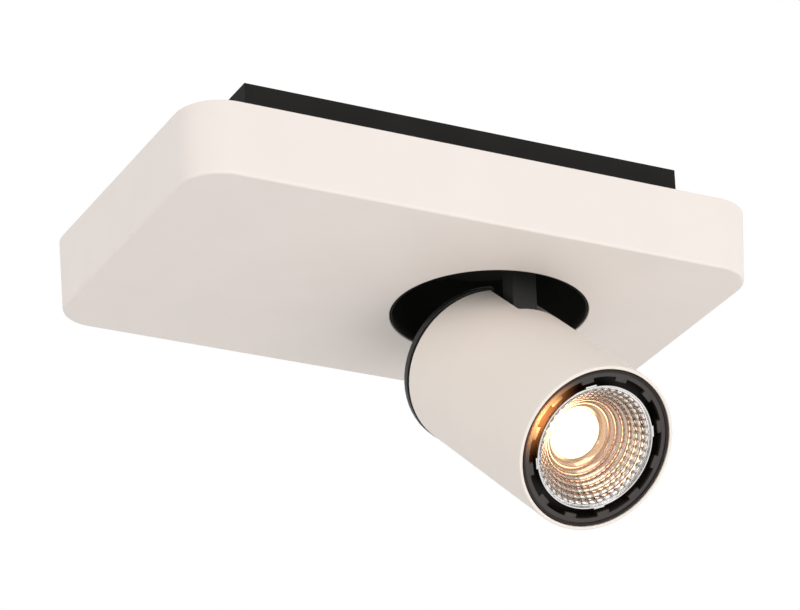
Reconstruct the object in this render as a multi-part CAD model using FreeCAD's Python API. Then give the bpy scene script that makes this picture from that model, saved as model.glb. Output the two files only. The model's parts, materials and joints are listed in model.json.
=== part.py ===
"""Surface mounted ceiling spotlight: a flat canopy with one swivelling, tilting lamp head.

Millimetres. The origin is the middle of the chassis's ceiling face, +Z points up into the
ceiling, +X runs along the canopy towards the lamp, and -Y is the canopy's front long side.
The lamp stands as it is aimed in use: turned by PAN_REST and tilted by TILT_REST.
"""
import FreeCAD, Part
import math
import os

from FreeCAD import Placement, Rotation, Vector

# ---------------------------------------------------------------- driving dimensions
# Clearances between pieces
SEAT_GAP = 0.3           # a loose cover or liner to what it sits on
HOLE_GAP = 0.05          # a screw, stud or spigot in its hole, on the radius
RUNNING_GAP = 0.05       # a turning shaft in its bore, on the radius
SLIP_GAP = 0.1           # two faces that slide on each other

# Chassis: the black folded steel box that carries everything
CHASSIS_LENGTH = 179.0
CHASSIS_WIDTH = 110.0
CHASSIS_SHEET = 1.2
MOUNT_SPACING_X = 156.0
MOUNT_SPACING_Y = 92.0
MOUNT_SLOT_R = 2.5
MOUNT_SLOT_LENGTH = 10.0

# Canopy: the cream tray that hides the chassis and leaves a shadow gap to the ceiling
SHADOW_GAP = 17.3
CANOPY_LENGTH = 230.0
CANOPY_WIDTH = 139.0
CANOPY_HEIGHT = 28.5
CANOPY_SHEET = 1.5
CANOPY_CORNER_R = 16.0
CANOPY_EDGE_R = 1.2
CANOPY_DRAFT = 1.4       # how far the rim stands out past the bottom face, each side
HOLE_X = 36.6            # the lamp's hole, on the canopy's long centre line
HOLE_R = 38.0

# Canopy fixing: leaf springs on the chassis snap over catches inside the canopy
SPRING_X = 58.0
SPRING_WIDTH = 12.0
SPRING_SHEET = 0.6
SPRING_FOOT = 9.0
SPRING_RISE = 5.5
SPRING_KNEE = 1.5        # the bend before the catch
SPRING_HOLD = 1.2        # how far the nose reaches over the catch
SPRING_TAIL = 5.0
SPRING_TAIL_DEPTH = 4.0
CATCH_WIDTH = 16.0
CATCH_DEPTH = 3.0
CATCH_HEIGHT = 3.0
CATCH_BELOW_RIM = 12.0
RIVET_SPACING = 6.0
RIVET_R = 1.2
RIVET_HEAD_R = 2.2
RIVET_HEAD_HEIGHT = 0.9

# Recess cup: the black liner behind the hole, hung from the chassis on stand-offs
CUP_MARGIN = 0.5         # the cup's inside past the edge of the canopy's hole
CUP_WALL = 1.5
CUP_FLOOR = 2.0
CUP_LIP = 2.5
COLLAR_GAP = 0.3         # the cup's collar stands in the canopy's hole
COLLAR_WALL = 0.7
COLLAR_SET_BACK = 0.3    # behind the canopy's bottom face
STANDOFF_LENGTH = 10.8
STANDOFF_FLATS = 5.5
STANDOFF_SHANK_R = 2.0
STANDOFF_COUNT = 3
STANDOFF_CIRCLE_R = 34.5
STOP_PIN_R = 1.5
STOP_CIRCLE_R = 32.5
STOP_PIN_DROP = 3.6

# Swivel: a turntable on a hollow stem, held by a nut above the cup
STEM_R = 5.0
STEM_BORE_R = 3.3
STEM_FLANGE_R = 8.5
STEM_FLANGE = 2.0
BUSH_R = 7.0
BUSH_FLANGE_R = 18.0
BUSH_FLANGE = 0.9
THRUST_WASHER_R = 10.0
THRUST_WASHER = 1.0
SPRING_WASHER_R = 9.0
SPRING_WASHER = 0.8
NUT_FLATS = 14.0
NUT_HEIGHT = 4.0
LOCK_NUT_HEIGHT = 2.5
STEM_END = 0.5           # thread left standing past the lock nut
TURNTABLE_R = 29.5
TURNTABLE_SHEET = 3.0
STOP_LUG_WIDTH = 5.0
STOP_LUG_REACH = 34.0
PAN_REST = 7.5           # degrees

# Arm: the black bar that drops through the hole into the lamp's slot
ARM_WIDTH = 11.0
ARM_DEPTH = 6.5
ARM_OFFSET = 20.2        # pan axis to the arm's middle, and lamp axis to the tilt pivot
ARM_EYE_R = 5.0
ARM_SCREW_SPACING = 5.8
ARM_SCREW_DEPTH = 9.0
PIVOT_DROP = 16.3        # canopy's bottom face to the tilt pivot
PIVOT_R = 2.0
TILT_REST = 49.5         # degrees from straight down

# Lamp shell. Lamp pieces are drawn with z = 0 at the shell's rear rim, +z to the front,
# x across and y towards the slot.
SHELL_R = 31.5
SHELL_WALL = 1.3
SHELL_LENGTH = 89.4
SLOT_LENGTH = 23.1
SLOT_WIDTH = 18.8
SLOT_CORNER_R = 1.0
LEDGE_WIDTH = 1.8
LEDGE_HEIGHT = 1.5
PIVOT_FROM_REAR = 16.3

# Rear cap
CAP_STAND_OUT = 0.2      # cap's edge past the shell's outside
CAP_DISC = 2.5
CAP_GROOVE = 1.2
CAP_NECK_INSET = 0.7
CAP_SPIGOT = 3.5
CAP_WALL = 1.5
CAP_SCREW_CIRCLE_R = 9.0
CAP_SCREW_COUNT = 3
CAP_SCREW_LENGTH = 12.0
NOTCH_SIDE_GAP = 1.5
NOTCH_FLOOR_GAP = 1.2

# Heat sink
SINK_CORE_R = 14.0
SINK_FIN_GAP = 0.4       # fins to the shell's ledge
SINK_FIN_COUNT = 20
SINK_FIN = 1.8
SINK_FIN_START = 4.5
SINK_DISC = 5.0
SINK_FACE_DEPTH = 18.8   # front ring's face to the face that the LED sits on
SINK_POCKET_LENGTH = 46.0
SINK_POCKET_ANGLE = 40.0  # fins closer to the slot than this stop short of the hinge

# Tilt hinge
EAR_SHEET = 2.0
EAR_R = 5.5
BRACKET_SHEET = 2.0
BRACKET_REACH = 20.0     # from the pivot to the bracket's front end
BRACKET_SCREW_FIRST = 8.5
BRACKET_SCREW_PITCH = 7.0
BRACKET_THREAD = 6.0
FRICTION_WASHER = 0.5
FRICTION_WASHER_R = 4.8
PIVOT_HEAD_R = 3.5
PIVOT_HEAD_HEIGHT = 2.2
PIVOT_NUT_FLATS = 7.0
PIVOT_NUT_HEIGHT = 3.2

# LED and optic
PAD_THICKNESS = 0.3
COB_SIDE = 24.0
COB_THICKNESS = 1.5
EMITTER_R = 9.3
EMITTER_HEIGHT = 1.0
HOLDER_R = 21.0
HOLDER_HEIGHT = 3.2
HOLDER_BORE_R = 9.7
HOLDER_SCREW_CIRCLE_R = 17.8
REFLECTOR_THROAT_R = 9.8
MOUTH_GAP = 2.9          # reflector's mouth to the ring's teeth
REFLECTOR_HEIGHT = 14.2
REFLECTOR_WALL = 1.0
REFLECTOR_RINGS = 9
REFLECTOR_CURVE = 0.86   # 1 is a straight cone, less is a deeper bowl
LIP_WALL = 0.6
LIP_HEIGHT = 1.1
LENS_THICKNESS = 0.9
CARRIER_HEIGHT = 10.2
CARRIER_PLATE = 1.5
CARRIER_WALL = 1.5
RING_RECESS = 0.8        # shell's front rim to the ring's face
RING_FACE = 1.5
RING_FACE_WIDTH = 2.7
RING_TOOTH = 1.6
RING_TOOTH_COUNT = 12
RING_TOOTH_ANGLE = 10.5  # degrees
RING_SKIRT = 1.5
RING_BEVEL = 0.3
RING_RIM_WIDTH = 1.0     # raised rim round the ring's face
RING_RIM_RISE = 0.5

# Supply side
ENTRY_X = -67.0
ENTRY_HOLE_R = 7.0
ENTRY_BORE_R = 4.5
ENTRY_FLANGE_R = 9.5
ENTRY_FLANGE = 2.0
ENTRY_NOZZLE = 2.8
ENTRY_NOZZLE_R = 6.5
CLAMP_GAP = 1.0          # entry bush to the clamp
CLAMP_LENGTH = 26.0
CLAMP_WIDTH = 7.0
CLAMP_HEIGHT = 4.0
CLAMP_GROOVE_R = 3.0
CLAMP_SCREW_SPACING = 18.0
TERMINAL_WALL_GAP = 13.8
TERMINAL_LENGTH = 30.0
TERMINAL_WIDTH = 17.0
TERMINAL_HEIGHT = 13.0
TERMINAL_WAYS = 3
TERMINAL_PITCH = 10.0
TERMINAL_WIRE_R = 1.8
TERMINAL_SCREW_ROW = 9.0
TERMINAL_SCREW_R = 1.6
TERMINAL_SCREW_SINK = 1.5
TERMINAL_FLOOR = 3.0     # what the fixing screw clamps
EARTH_WALL_GAP = 29.8
EARTH_WASHER_R = 4.6
EARTH_WASHER = 0.8
DRIVER_X = -27.0
DRIVER_END_GAP = 1.3     # driver's lugs to the chassis's long walls
DRIVER_WIDTH = 36.0
DRIVER_HEIGHT = 22.0
DRIVER_WALL = 1.5
DRIVER_LID = 1.5
DRIVER_LUG = 6.5
DRIVER_LUG_WIDTH = 14.0
DRIVER_LUG_SHEET = 3.0
BOARD_THICKNESS = 1.6
BOARD_DROP = 5.0         # case's inner top to the board
TRANSFORMER_SIDE = 18.0
TRANSFORMER_HEIGHT = 11.0
CAPACITOR_R = 5.0
CAPACITOR_HEIGHT = 10.0

# Screws: shank radius, head radius, head height
M3 = (1.5, 2.75, 2.0)
M4 = (2.0, 3.9, 2.6)
COUNTERSINK = 1.65
DRIVE_WIDTH = 0.8
DRIVE_DEPTH = 0.9

# ---------------------------------------------------------------- levels and radii
PLATE_Z = -CHASSIS_SHEET
CANOPY_RIM_Z = -SHADOW_GAP
CANOPY_BOTTOM_Z = CANOPY_RIM_Z - CANOPY_HEIGHT
CANOPY_FLOOR_Z = CANOPY_BOTTOM_Z + CANOPY_SHEET
CHASSIS_FOOT_Z = CANOPY_FLOOR_Z + SEAT_GAP
CUP_FOOT_Z = CANOPY_FLOOR_Z + SEAT_GAP
CUP_R = HOLE_R + CUP_MARGIN
COLLAR_R = HOLE_R - COLLAR_GAP
COLLAR_FOOT_Z = CANOPY_BOTTOM_Z + COLLAR_SET_BACK
CUP_TOP_Z = PLATE_Z - STANDOFF_LENGTH
CUP_CEILING_Z = CUP_TOP_Z - CUP_FLOOR
BUSH_FOOT_Z = CUP_CEILING_Z - BUSH_FLANGE
TURNTABLE_TOP_Z = BUSH_FOOT_Z - SLIP_GAP
TURNTABLE_FOOT_Z = TURNTABLE_TOP_Z - TURNTABLE_SHEET
SPRING_WASHER_Z = CUP_TOP_Z + THRUST_WASHER + SLIP_GAP
NUT_Z = SPRING_WASHER_Z + SPRING_WASHER
LOCK_NUT_Z = NUT_Z + NUT_HEIGHT
STEM_TOP_Z = LOCK_NUT_Z + LOCK_NUT_HEIGHT + STEM_END
PIVOT_Z = CANOPY_BOTTOM_Z - PIVOT_DROP
CATCH_TOP_Z = CANOPY_RIM_Z - CATCH_BELOW_RIM
TERMINAL_SEAT_Z = PLATE_Z - TERMINAL_FLOOR

CHASSIS_INNER_Y = CHASSIS_WIDTH / 2 - CHASSIS_SHEET
CLAMP_Y = -ENTRY_FLANGE_R - CLAMP_GAP - CLAMP_WIDTH / 2
TERMINAL_Y = -CHASSIS_INNER_Y + TERMINAL_WALL_GAP + TERMINAL_WIDTH / 2
EARTH_Y = CHASSIS_INNER_Y - EARTH_WALL_GAP
DRIVER_LENGTH = 2 * (CHASSIS_INNER_Y - DRIVER_END_GAP - DRIVER_LUG)

SHELL_BORE_R = SHELL_R - SHELL_WALL
RING_FRONT = SHELL_LENGTH - RING_RECESS
RING_R = SHELL_BORE_R - SEAT_GAP
RING_FACE_INNER_R = RING_R - RING_FACE_WIDTH
RING_TOOTH_R = RING_FACE_INNER_R - RING_TOOTH
REFLECTOR_MOUTH_R = RING_TOOTH_R - MOUTH_GAP
CAP_R = SHELL_R + CAP_STAND_OUT
CAP_NECK_R = SHELL_R - CAP_NECK_INSET
SINK_FIN_R = SHELL_BORE_R - LEDGE_WIDTH - SINK_FIN_GAP
SINK_FACE = RING_FRONT - SINK_FACE_DEPTH
EAR_INNER_X = ARM_WIDTH / 2 + SLIP_GAP + FRICTION_WASHER
EAR_OUTER_X = EAR_INNER_X + EAR_SHEET
NOTCH_FLOOR_Y = ARM_OFFSET - ARM_EYE_R - NOTCH_FLOOR_GAP
SEAT_Y = NOTCH_FLOOR_Y - BRACKET_SHEET
COB_Z = SINK_FACE + PAD_THICKNESS
EMITTER_Z = COB_Z + COB_THICKNESS
HOLDER_TOP = SINK_FACE + HOLDER_HEIGHT
REFLECTOR_FOOT = HOLDER_TOP + SLIP_GAP
LENS_SEAT = REFLECTOR_FOOT + REFLECTOR_HEIGHT
CARRIER_TOP = SINK_FACE + CARRIER_HEIGHT

TINY = 0.01              # for telling edges apart
X_AXIS = Vector(1, 0, 0)
Y_AXIS = Vector(0, 1, 0)
Z_AXIS = Vector(0, 0, 1)


# ---------------------------------------------------------------- shape helpers
def cylinder(radius, z_low, z_high, x=0.0, y=0.0):
    return Part.makeCylinder(radius, z_high - z_low, Vector(x, y, z_low))


def tube(outer_r, inner_r, z_low, z_high, x=0.0, y=0.0):
    return cylinder(outer_r, z_low, z_high, x, y).cut(cylinder(inner_r, z_low - 1, z_high + 1, x, y))


def block(x_low, x_high, y_low, y_high, z_low, z_high):
    size = (x_high - x_low, y_high - y_low, z_high - z_low)
    return Part.makeBox(*size, Vector(x_low, y_low, z_low))


def centred_block(x, y, length, width, z_low, z_high):
    return block(x - length / 2, x + length / 2, y - width / 2, y + width / 2, z_low, z_high)


def prism(points, direction):
    """A solid from a closed outline of points, swept along direction."""
    return Part.Face(Part.makePolygon(points + points[:1])).extrude(direction)


def hex_prism(across_flats, z_low, z_high, x=0.0, y=0.0):
    corner_r = across_flats / math.sqrt(3)
    corners = [polar(corner_r, 60 * i, z_low, x, y) for i in range(6)]
    return prism(corners, Vector(0, 0, z_high - z_low))


def polar(radius, degrees, z=0.0, x=0.0, y=0.0):
    angle = math.radians(degrees)
    return Vector(x + radius * math.cos(angle), y + radius * math.sin(angle), z)


def turned(profile):
    """A solid of revolution about Z from (radius, z) pairs."""
    points = [Vector(r, 0, z) for r, z in profile]
    return Part.Face(Part.makePolygon(points + points[:1])).revolve(Vector(), Z_AXIS, 360)


def rounded_outline(length, width, radius, z):
    x = length / 2
    y = width / 2
    edges = []
    centres = [(x - radius, y - radius), (radius - x, y - radius),
               (radius - x, radius - y), (x - radius, radius - y)]
    for i, (cx, cy) in enumerate(centres):
        start, middle, end = (polar(radius, 90 * i + a, z, cx, cy) for a in (0, 45, 90))
        edges.append(Part.Arc(start, middle, end).toShape())
        next_x, next_y = centres[(i + 1) % 4]
        edges.append(Part.makeLine(end, polar(radius, 90 * i + 90, z, next_x, next_y)))
    return Part.Wire(edges)


def slot_cutter(x, y, radius, length, z_low, z_high):
    """A slot along X, as long as length over its round ends."""
    half = length / 2 - radius
    ends = [cylinder(radius, z_low, z_high, x + side * half, y) for side in (-1, 1)]
    return block(x - half, x + half, y - radius, y + radius, z_low, z_high).multiFuse(ends)


def cut_all(shape, cutters):
    return shape.cut(Part.makeCompound(cutters))


def fused(shapes):
    return shapes[0].multiFuse(shapes[1:]).removeSplitter()


def drive_cross(radius, z_low, z_high, x, y):
    reach = radius * 1.2
    along = centred_block(x, y, reach, DRIVE_WIDTH, z_low, z_high)
    return along.fuse(centred_block(x, y, DRIVE_WIDTH, reach, z_low, z_high))


def pan_screw(size, length, z, x=0.0, y=0.0):
    """A pan head screw driven upwards: the head hangs below z, the shank rises from it."""
    shank_r, head_r, head_height = size
    head = cylinder(head_r, z - head_height, z, x, y)
    head = head.makeFillet(head_height * 0.4, [low_edge(head)])
    head = head.cut(drive_cross(head_r, z - head_height, z - head_height + DRIVE_DEPTH, x, y))
    return fused([head, cylinder(shank_r, z, z + length, x, y)])


def low_edge(shape):
    """The round edge at the foot of a cylinder."""
    return min((e for e in shape.Edges if e.isClosed()), key=lambda e: e.BoundBox.ZMin + e.BoundBox.ZMax)


def countersunk_screw(size, length, z, x=0.0, y=0.0):
    """A countersunk screw driven upwards, its head flush with a face at z."""
    shank_r, head_r, _ = size
    profile = [(0, 0), (head_r, 0), (shank_r, COUNTERSINK), (shank_r, length), (0, length)]
    screw = turned(profile)
    screw.translate(Vector(x, y, z))
    return screw.cut(drive_cross(head_r, z, z + DRIVE_DEPTH, x, y))


def countersunk_hole(size, depth, z, x=0.0, y=0.0):
    """What a countersunk screw takes out of the pieces that it goes through."""
    shank_r = size[0] + HOLE_GAP
    head_r = size[1] + HOLE_GAP
    profile = [(0, 0), (head_r, 0), (shank_r, COUNTERSINK), (shank_r, depth), (0, depth)]
    hole = turned(profile)
    hole.translate(Vector(x, y, z))
    return hole


def reversed_screw(screw, z):
    """The same screw turned over about the plane z, so that it is driven downwards."""
    screw = screw.copy()
    screw.rotate(Vector(0, 0, z), X_AXIS, 180)
    return screw


# ---------------------------------------------------------------- chassis
def mount_slot_centres():
    half_x = MOUNT_SPACING_X / 2
    half_y = MOUNT_SPACING_Y / 2
    return [(sx * half_x, sy * half_y) for sx in (-1, 1) for sy in (-1, 1)]


def standoff_centres():
    step = 360 / STANDOFF_COUNT
    return [polar(STANDOFF_CIRCLE_R, step * (i + 0.5), 0, HOLE_X) for i in range(STANDOFF_COUNT)]


def driver_screw_centres():
    reach = (DRIVER_LENGTH + DRIVER_LUG) / 2
    return [(DRIVER_X, -reach), (DRIVER_X, reach)]


def clamp_screw_centres():
    return [(ENTRY_X + side * CLAMP_SCREW_SPACING / 2, CLAMP_Y) for side in (-1, 1)]


def rivet_centres():
    """x and z of each rivet in a long wall, and the wall's side."""
    foot_middle = CATCH_TOP_Z - SPRING_RISE - SPRING_FOOT / 2
    return [(end * SPRING_X + step * RIVET_SPACING / 2, foot_middle, side)
            for side in (-1, 1) for end in (-1, 1) for step in (-1, 1)]


def make_chassis():
    outer = centred_block(0, 0, CHASSIS_LENGTH, CHASSIS_WIDTH, CHASSIS_FOOT_Z, 0)
    inner_length = CHASSIS_LENGTH - 2 * CHASSIS_SHEET
    inner = centred_block(0, 0, inner_length, 2 * CHASSIS_INNER_Y, CHASSIS_FOOT_Z - 1, PLATE_Z)
    low = PLATE_Z - 1
    cutters = [inner]
    for x, y in mount_slot_centres():
        cutters.append(slot_cutter(x, y, MOUNT_SLOT_R, MOUNT_SLOT_LENGTH, low, 1))
    cutters.append(cylinder(ENTRY_HOLE_R + HOLE_GAP, low, 1, ENTRY_X, 0))
    for centre in standoff_centres():
        cutters.append(cylinder(STANDOFF_SHANK_R + HOLE_GAP, low, 1, centre.x, centre.y))
    m3_holes = driver_screw_centres() + clamp_screw_centres() + [(ENTRY_X, TERMINAL_Y)]
    for x, y in m3_holes:
        cutters.append(cylinder(M3[0] + HOLE_GAP, low, 1, x, y))
    cutters.append(cylinder(M4[0] + HOLE_GAP, low, 1, ENTRY_X, EARTH_Y))
    for x, z, side in rivet_centres():
        start = Vector(x, side * (CHASSIS_INNER_Y - 1), z)
        cutters.append(Part.makeCylinder(RIVET_R + HOLE_GAP, CHASSIS_SHEET + 2, start, Y_AXIS * side))
    return cut_all(outer, cutters)


# ---------------------------------------------------------------- canopy and its fixing
def canopy_grow(z):
    """How far the canopy's wall stands out at height z past the bottom outline."""
    return CANOPY_DRAFT * (z - CANOPY_BOTTOM_Z) / CANOPY_HEIGHT


def canopy_outline(z, inset):
    grow = canopy_grow(z) - inset
    return rounded_outline(CANOPY_LENGTH + 2 * grow, CANOPY_WIDTH + 2 * grow, CANOPY_CORNER_R + grow, z)


def make_canopy():
    outer = Part.makeLoft([canopy_outline(z, 0) for z in (CANOPY_BOTTOM_Z, CANOPY_RIM_Z)], True, True)
    bottom_edges = [e for e in outer.Edges if e.BoundBox.ZMax < CANOPY_BOTTOM_Z + TINY]
    outer = outer.makeFillet(CANOPY_EDGE_R, bottom_edges)
    levels = (CANOPY_FLOOR_Z, CANOPY_RIM_Z + 1)
    inner = Part.makeLoft([canopy_outline(z, CANOPY_SHEET) for z in levels], True, True)
    hole = cylinder(HOLE_R, CANOPY_BOTTOM_Z - 1, CANOPY_FLOOR_Z + 1, HOLE_X)
    return cut_all(outer, [inner, hole])


def catch_outer_y():
    """The canopy's inner wall, on the long side, at the foot of the catches."""
    return CANOPY_WIDTH / 2 - CANOPY_SHEET + canopy_grow(CATCH_TOP_Z - CATCH_HEIGHT)


def make_canopy_catches():
    """Four small bars welded inside the long walls."""
    catches = []
    for side in (-1, 1):
        for end in (-1, 1):
            y = side * (catch_outer_y() - CATCH_DEPTH / 2)
            low = CATCH_TOP_Z - CATCH_HEIGHT
            catches.append(centred_block(end * SPRING_X, y, CATCH_WIDTH, CATCH_DEPTH, low, CATCH_TOP_Z))
    return Part.makeCompound(catches)


def strip_outline(points, thickness):
    """The closed outline of a bent strip whose one face runs through points (y, z)."""
    normals = []
    for (y0, z0), (y1, z1) in zip(points, points[1:]):
        run = math.hypot(y1 - y0, z1 - z0)
        normals.append(((z1 - z0) / run, (y0 - y1) / run))
    back = []
    for i, (y, z) in enumerate(points):
        before = normals[max(i - 1, 0)]
        after = normals[min(i, len(normals) - 1)]
        mitre = thickness / (1 + before[0] * after[0] + before[1] * after[1])
        back.append((y + (before[0] + after[0]) * mitre, z + (before[1] + after[1]) * mitre))
    return points + back[::-1]


def make_canopy_springs():
    """Four leaf springs riveted outside the chassis's long walls, noses over the catches."""
    wall = CHASSIS_WIDTH / 2
    catch_y = catch_outer_y() - CATCH_DEPTH
    bend_z = CATCH_TOP_Z - SPRING_RISE
    nose_z = CATCH_TOP_Z + SEAT_GAP + SPRING_SHEET
    path = [(wall, bend_z - SPRING_FOOT), (wall, bend_z), (catch_y - SPRING_KNEE, nose_z),
            (catch_y + SPRING_HOLD, nose_z),
            (catch_y + SPRING_HOLD - SPRING_TAIL_DEPTH, nose_z + SPRING_TAIL)]
    outline = strip_outline(path, SPRING_SHEET)
    springs = []
    for end in (-1, 1):
        x = end * SPRING_X - SPRING_WIDTH / 2
        for side in (-1, 1):
            corners = [Vector(x, side * y, z) for y, z in outline]
            springs.append(prism(corners, X_AXIS * SPRING_WIDTH))
    cutters = []
    for x, z, side in rivet_centres():
        start = Vector(x, side * (wall - 1), z)
        cutters.append(Part.makeCylinder(RIVET_R + HOLE_GAP, SPRING_SHEET + 2, start, Y_AXIS * side))
    return Part.makeCompound([cut_all(spring, cutters) for spring in springs])


def make_spring_rivets():
    rivets = []
    outer_y = CHASSIS_WIDTH / 2 + SPRING_SHEET
    for x, z, side in rivet_centres():
        pieces = [(RIVET_HEAD_R, outer_y, outer_y + RIVET_HEAD_HEIGHT),
                  (RIVET_R, CHASSIS_INNER_Y, outer_y),
                  (RIVET_HEAD_R, CHASSIS_INNER_Y - RIVET_HEAD_HEIGHT, CHASSIS_INNER_Y)]
        solids = [Part.makeCylinder(r, high - low, Vector(x, side * low, z), Y_AXIS * side)
                  for r, low, high in pieces]
        rivets.append(fused(solids))
    return Part.makeCompound(rivets)


# ---------------------------------------------------------------- recess cup
def make_recess_cup():
    foot = CUP_FOOT_Z
    outer_r = CUP_R + CUP_WALL
    collar_inner_r = COLLAR_R - COLLAR_WALL
    profile = [(BUSH_R + HOLE_GAP, CUP_TOP_Z), (outer_r, CUP_TOP_Z), (outer_r, foot + CUP_WALL),
               (outer_r + CUP_LIP, foot + CUP_WALL), (outer_r + CUP_LIP, foot), (COLLAR_R, foot),
               (COLLAR_R, COLLAR_FOOT_Z), (collar_inner_r, COLLAR_FOOT_Z),
               (collar_inner_r, foot + CUP_WALL), (CUP_R, foot + CUP_WALL),
               (CUP_R, CUP_CEILING_Z), (BUSH_R + HOLE_GAP, CUP_CEILING_Z)]
    cup = turned(profile)
    cup.translate(Vector(HOLE_X, 0, 0))
    holes = [countersunk_hole(M3, CUP_FLOOR + 1, CUP_CEILING_Z, c.x, c.y) for c in standoff_centres()]
    pin = stop_pin_centre()
    holes.append(cylinder(STOP_PIN_R, CUP_CEILING_Z - 1, CUP_TOP_Z + 1, pin.x, pin.y))
    return cut_all(cup, holes)


def stop_pin_centre():
    """The pin stands at the front of the cup."""
    return polar(STOP_CIRCLE_R, -90, 0, HOLE_X)


def make_stop_pin():
    pin = stop_pin_centre()
    return cylinder(STOP_PIN_R, CUP_CEILING_Z - STOP_PIN_DROP, CUP_TOP_Z, pin.x, pin.y)


def make_cup_standoffs():
    """Threaded hexagons clinched into the chassis plate, flush with the ceiling face."""
    standoffs = []
    for centre in standoff_centres():
        x, y = centre.x, centre.y
        body = hex_prism(STANDOFF_FLATS, CUP_TOP_Z, PLATE_Z, x, y)
        shank = cylinder(STANDOFF_SHANK_R, PLATE_Z, 0, x, y)
        bore = cylinder(M3[0] + HOLE_GAP, CUP_TOP_Z - 1, PLATE_Z - 1, x, y)
        standoffs.append(fused([body, shank]).cut(bore))
    return Part.makeCompound(standoffs)


def make_cup_screws():
    length = CUP_FLOOR + STANDOFF_LENGTH * 0.6
    return Part.makeCompound([countersunk_screw(M3, length, CUP_CEILING_Z, c.x, c.y)
                              for c in standoff_centres()])


def make_swivel_bush():
    """A flanged nylon bush: the stem turns in it and the turntable slides under its flange."""
    bore_r = STEM_R + RUNNING_GAP
    profile = [(bore_r, CUP_TOP_Z), (BUSH_R, CUP_TOP_Z), (BUSH_R, CUP_CEILING_Z),
               (BUSH_FLANGE_R, CUP_CEILING_Z), (BUSH_FLANGE_R, BUSH_FOOT_Z), (bore_r, BUSH_FOOT_Z)]
    bush = turned(profile)
    bush.translate(Vector(HOLE_X, 0, 0))
    return bush


def make_thrust_washer():
    inner_r = STEM_R + RUNNING_GAP
    return tube(THRUST_WASHER_R, inner_r, CUP_TOP_Z, CUP_TOP_Z + THRUST_WASHER, HOLE_X)


# ---------------------------------------------------------------- swivel, drawn about the pan axis
def swivel_placement():
    return Placement(Vector(HOLE_X, 0, 0), Rotation(Z_AXIS, PAN_REST))


def arm_screw_centres():
    return [(side * ARM_SCREW_SPACING / 2, -ARM_OFFSET) for side in (-1, 1)]


def make_turntable():
    """A disc that carries the arm, with a lug at the back that meets the stop pin."""
    disc = cylinder(TURNTABLE_R, TURNTABLE_FOOT_Z, TURNTABLE_TOP_Z)
    lug = block(-STOP_LUG_WIDTH / 2, STOP_LUG_WIDTH / 2, STEM_FLANGE_R, STOP_LUG_REACH,
                TURNTABLE_FOOT_Z, TURNTABLE_TOP_Z)
    cutters = [cylinder(STEM_R + HOLE_GAP, TURNTABLE_FOOT_Z - 1, TURNTABLE_TOP_Z + 1)]
    for x, y in arm_screw_centres():
        hole = countersunk_hole(M3, TURNTABLE_SHEET + 1, 0)
        hole = reversed_screw(hole, 0)
        hole.translate(Vector(x, y, TURNTABLE_TOP_Z))
        cutters.append(hole)
    return cut_all(fused([disc, lug]), cutters)


def make_swivel_stem():
    flange_foot = TURNTABLE_FOOT_Z - STEM_FLANGE
    profile = [(STEM_BORE_R, flange_foot), (STEM_FLANGE_R, flange_foot),
               (STEM_FLANGE_R, TURNTABLE_FOOT_Z), (STEM_R, TURNTABLE_FOOT_Z),
               (STEM_R, STEM_TOP_Z), (STEM_BORE_R, STEM_TOP_Z)]
    return turned(profile)


def make_spring_washer():
    return tube(SPRING_WASHER_R, STEM_R + HOLE_GAP, SPRING_WASHER_Z, NUT_Z)


def make_swivel_nut():
    nut = hex_prism(NUT_FLATS, NUT_Z, LOCK_NUT_Z)
    return nut.cut(cylinder(STEM_R + HOLE_GAP, NUT_Z - 1, LOCK_NUT_Z + 1))


def make_lock_nut():
    top = LOCK_NUT_Z + LOCK_NUT_HEIGHT
    nut = hex_prism(NUT_FLATS, LOCK_NUT_Z, top)
    nut.rotate(Vector(), Z_AXIS, 17)
    return nut.cut(cylinder(STEM_R + HOLE_GAP, LOCK_NUT_Z - 1, top + 1))


def make_arm():
    """A flat bar from the turntable down to a round eye at the tilt pivot."""
    half_width = ARM_WIDTH / 2
    half_depth = ARM_DEPTH / 2
    bar = block(-half_width, half_width, -ARM_OFFSET - half_depth, -ARM_OFFSET + half_depth,
                PIVOT_Z, TURNTABLE_FOOT_Z)
    start = Vector(-half_width, -ARM_OFFSET, PIVOT_Z)
    eye = Part.makeCylinder(ARM_EYE_R, ARM_WIDTH, start, X_AXIS)
    bore = Part.makeCylinder(PIVOT_R + RUNNING_GAP, ARM_WIDTH, start, X_AXIS)
    threads = [cylinder(M3[0] + HOLE_GAP, TURNTABLE_FOOT_Z - ARM_SCREW_DEPTH, TURNTABLE_FOOT_Z + 1, x, y)
               for x, y in arm_screw_centres()]
    return cut_all(fused([bar, eye]), [bore] + threads)


def make_arm_screws():
    length = TURNTABLE_SHEET + ARM_SCREW_DEPTH - 1
    screws = []
    for x, y in arm_screw_centres():
        screw = reversed_screw(countersunk_screw(M3, length, 0), 0)
        screw.translate(Vector(x, y, TURNTABLE_TOP_Z))
        screws.append(screw)
    return Part.makeCompound(screws)


# ---------------------------------------------------------------- lamp head
def head_placement():
    tilt = Placement(Vector(0, -ARM_OFFSET, PIVOT_Z), Rotation(X_AXIS, 180 - TILT_REST))
    to_pivot = Placement(Vector(0, -ARM_OFFSET, -PIVOT_FROM_REAR), Rotation())
    return swivel_placement().multiply(tilt).multiply(to_pivot)


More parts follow.
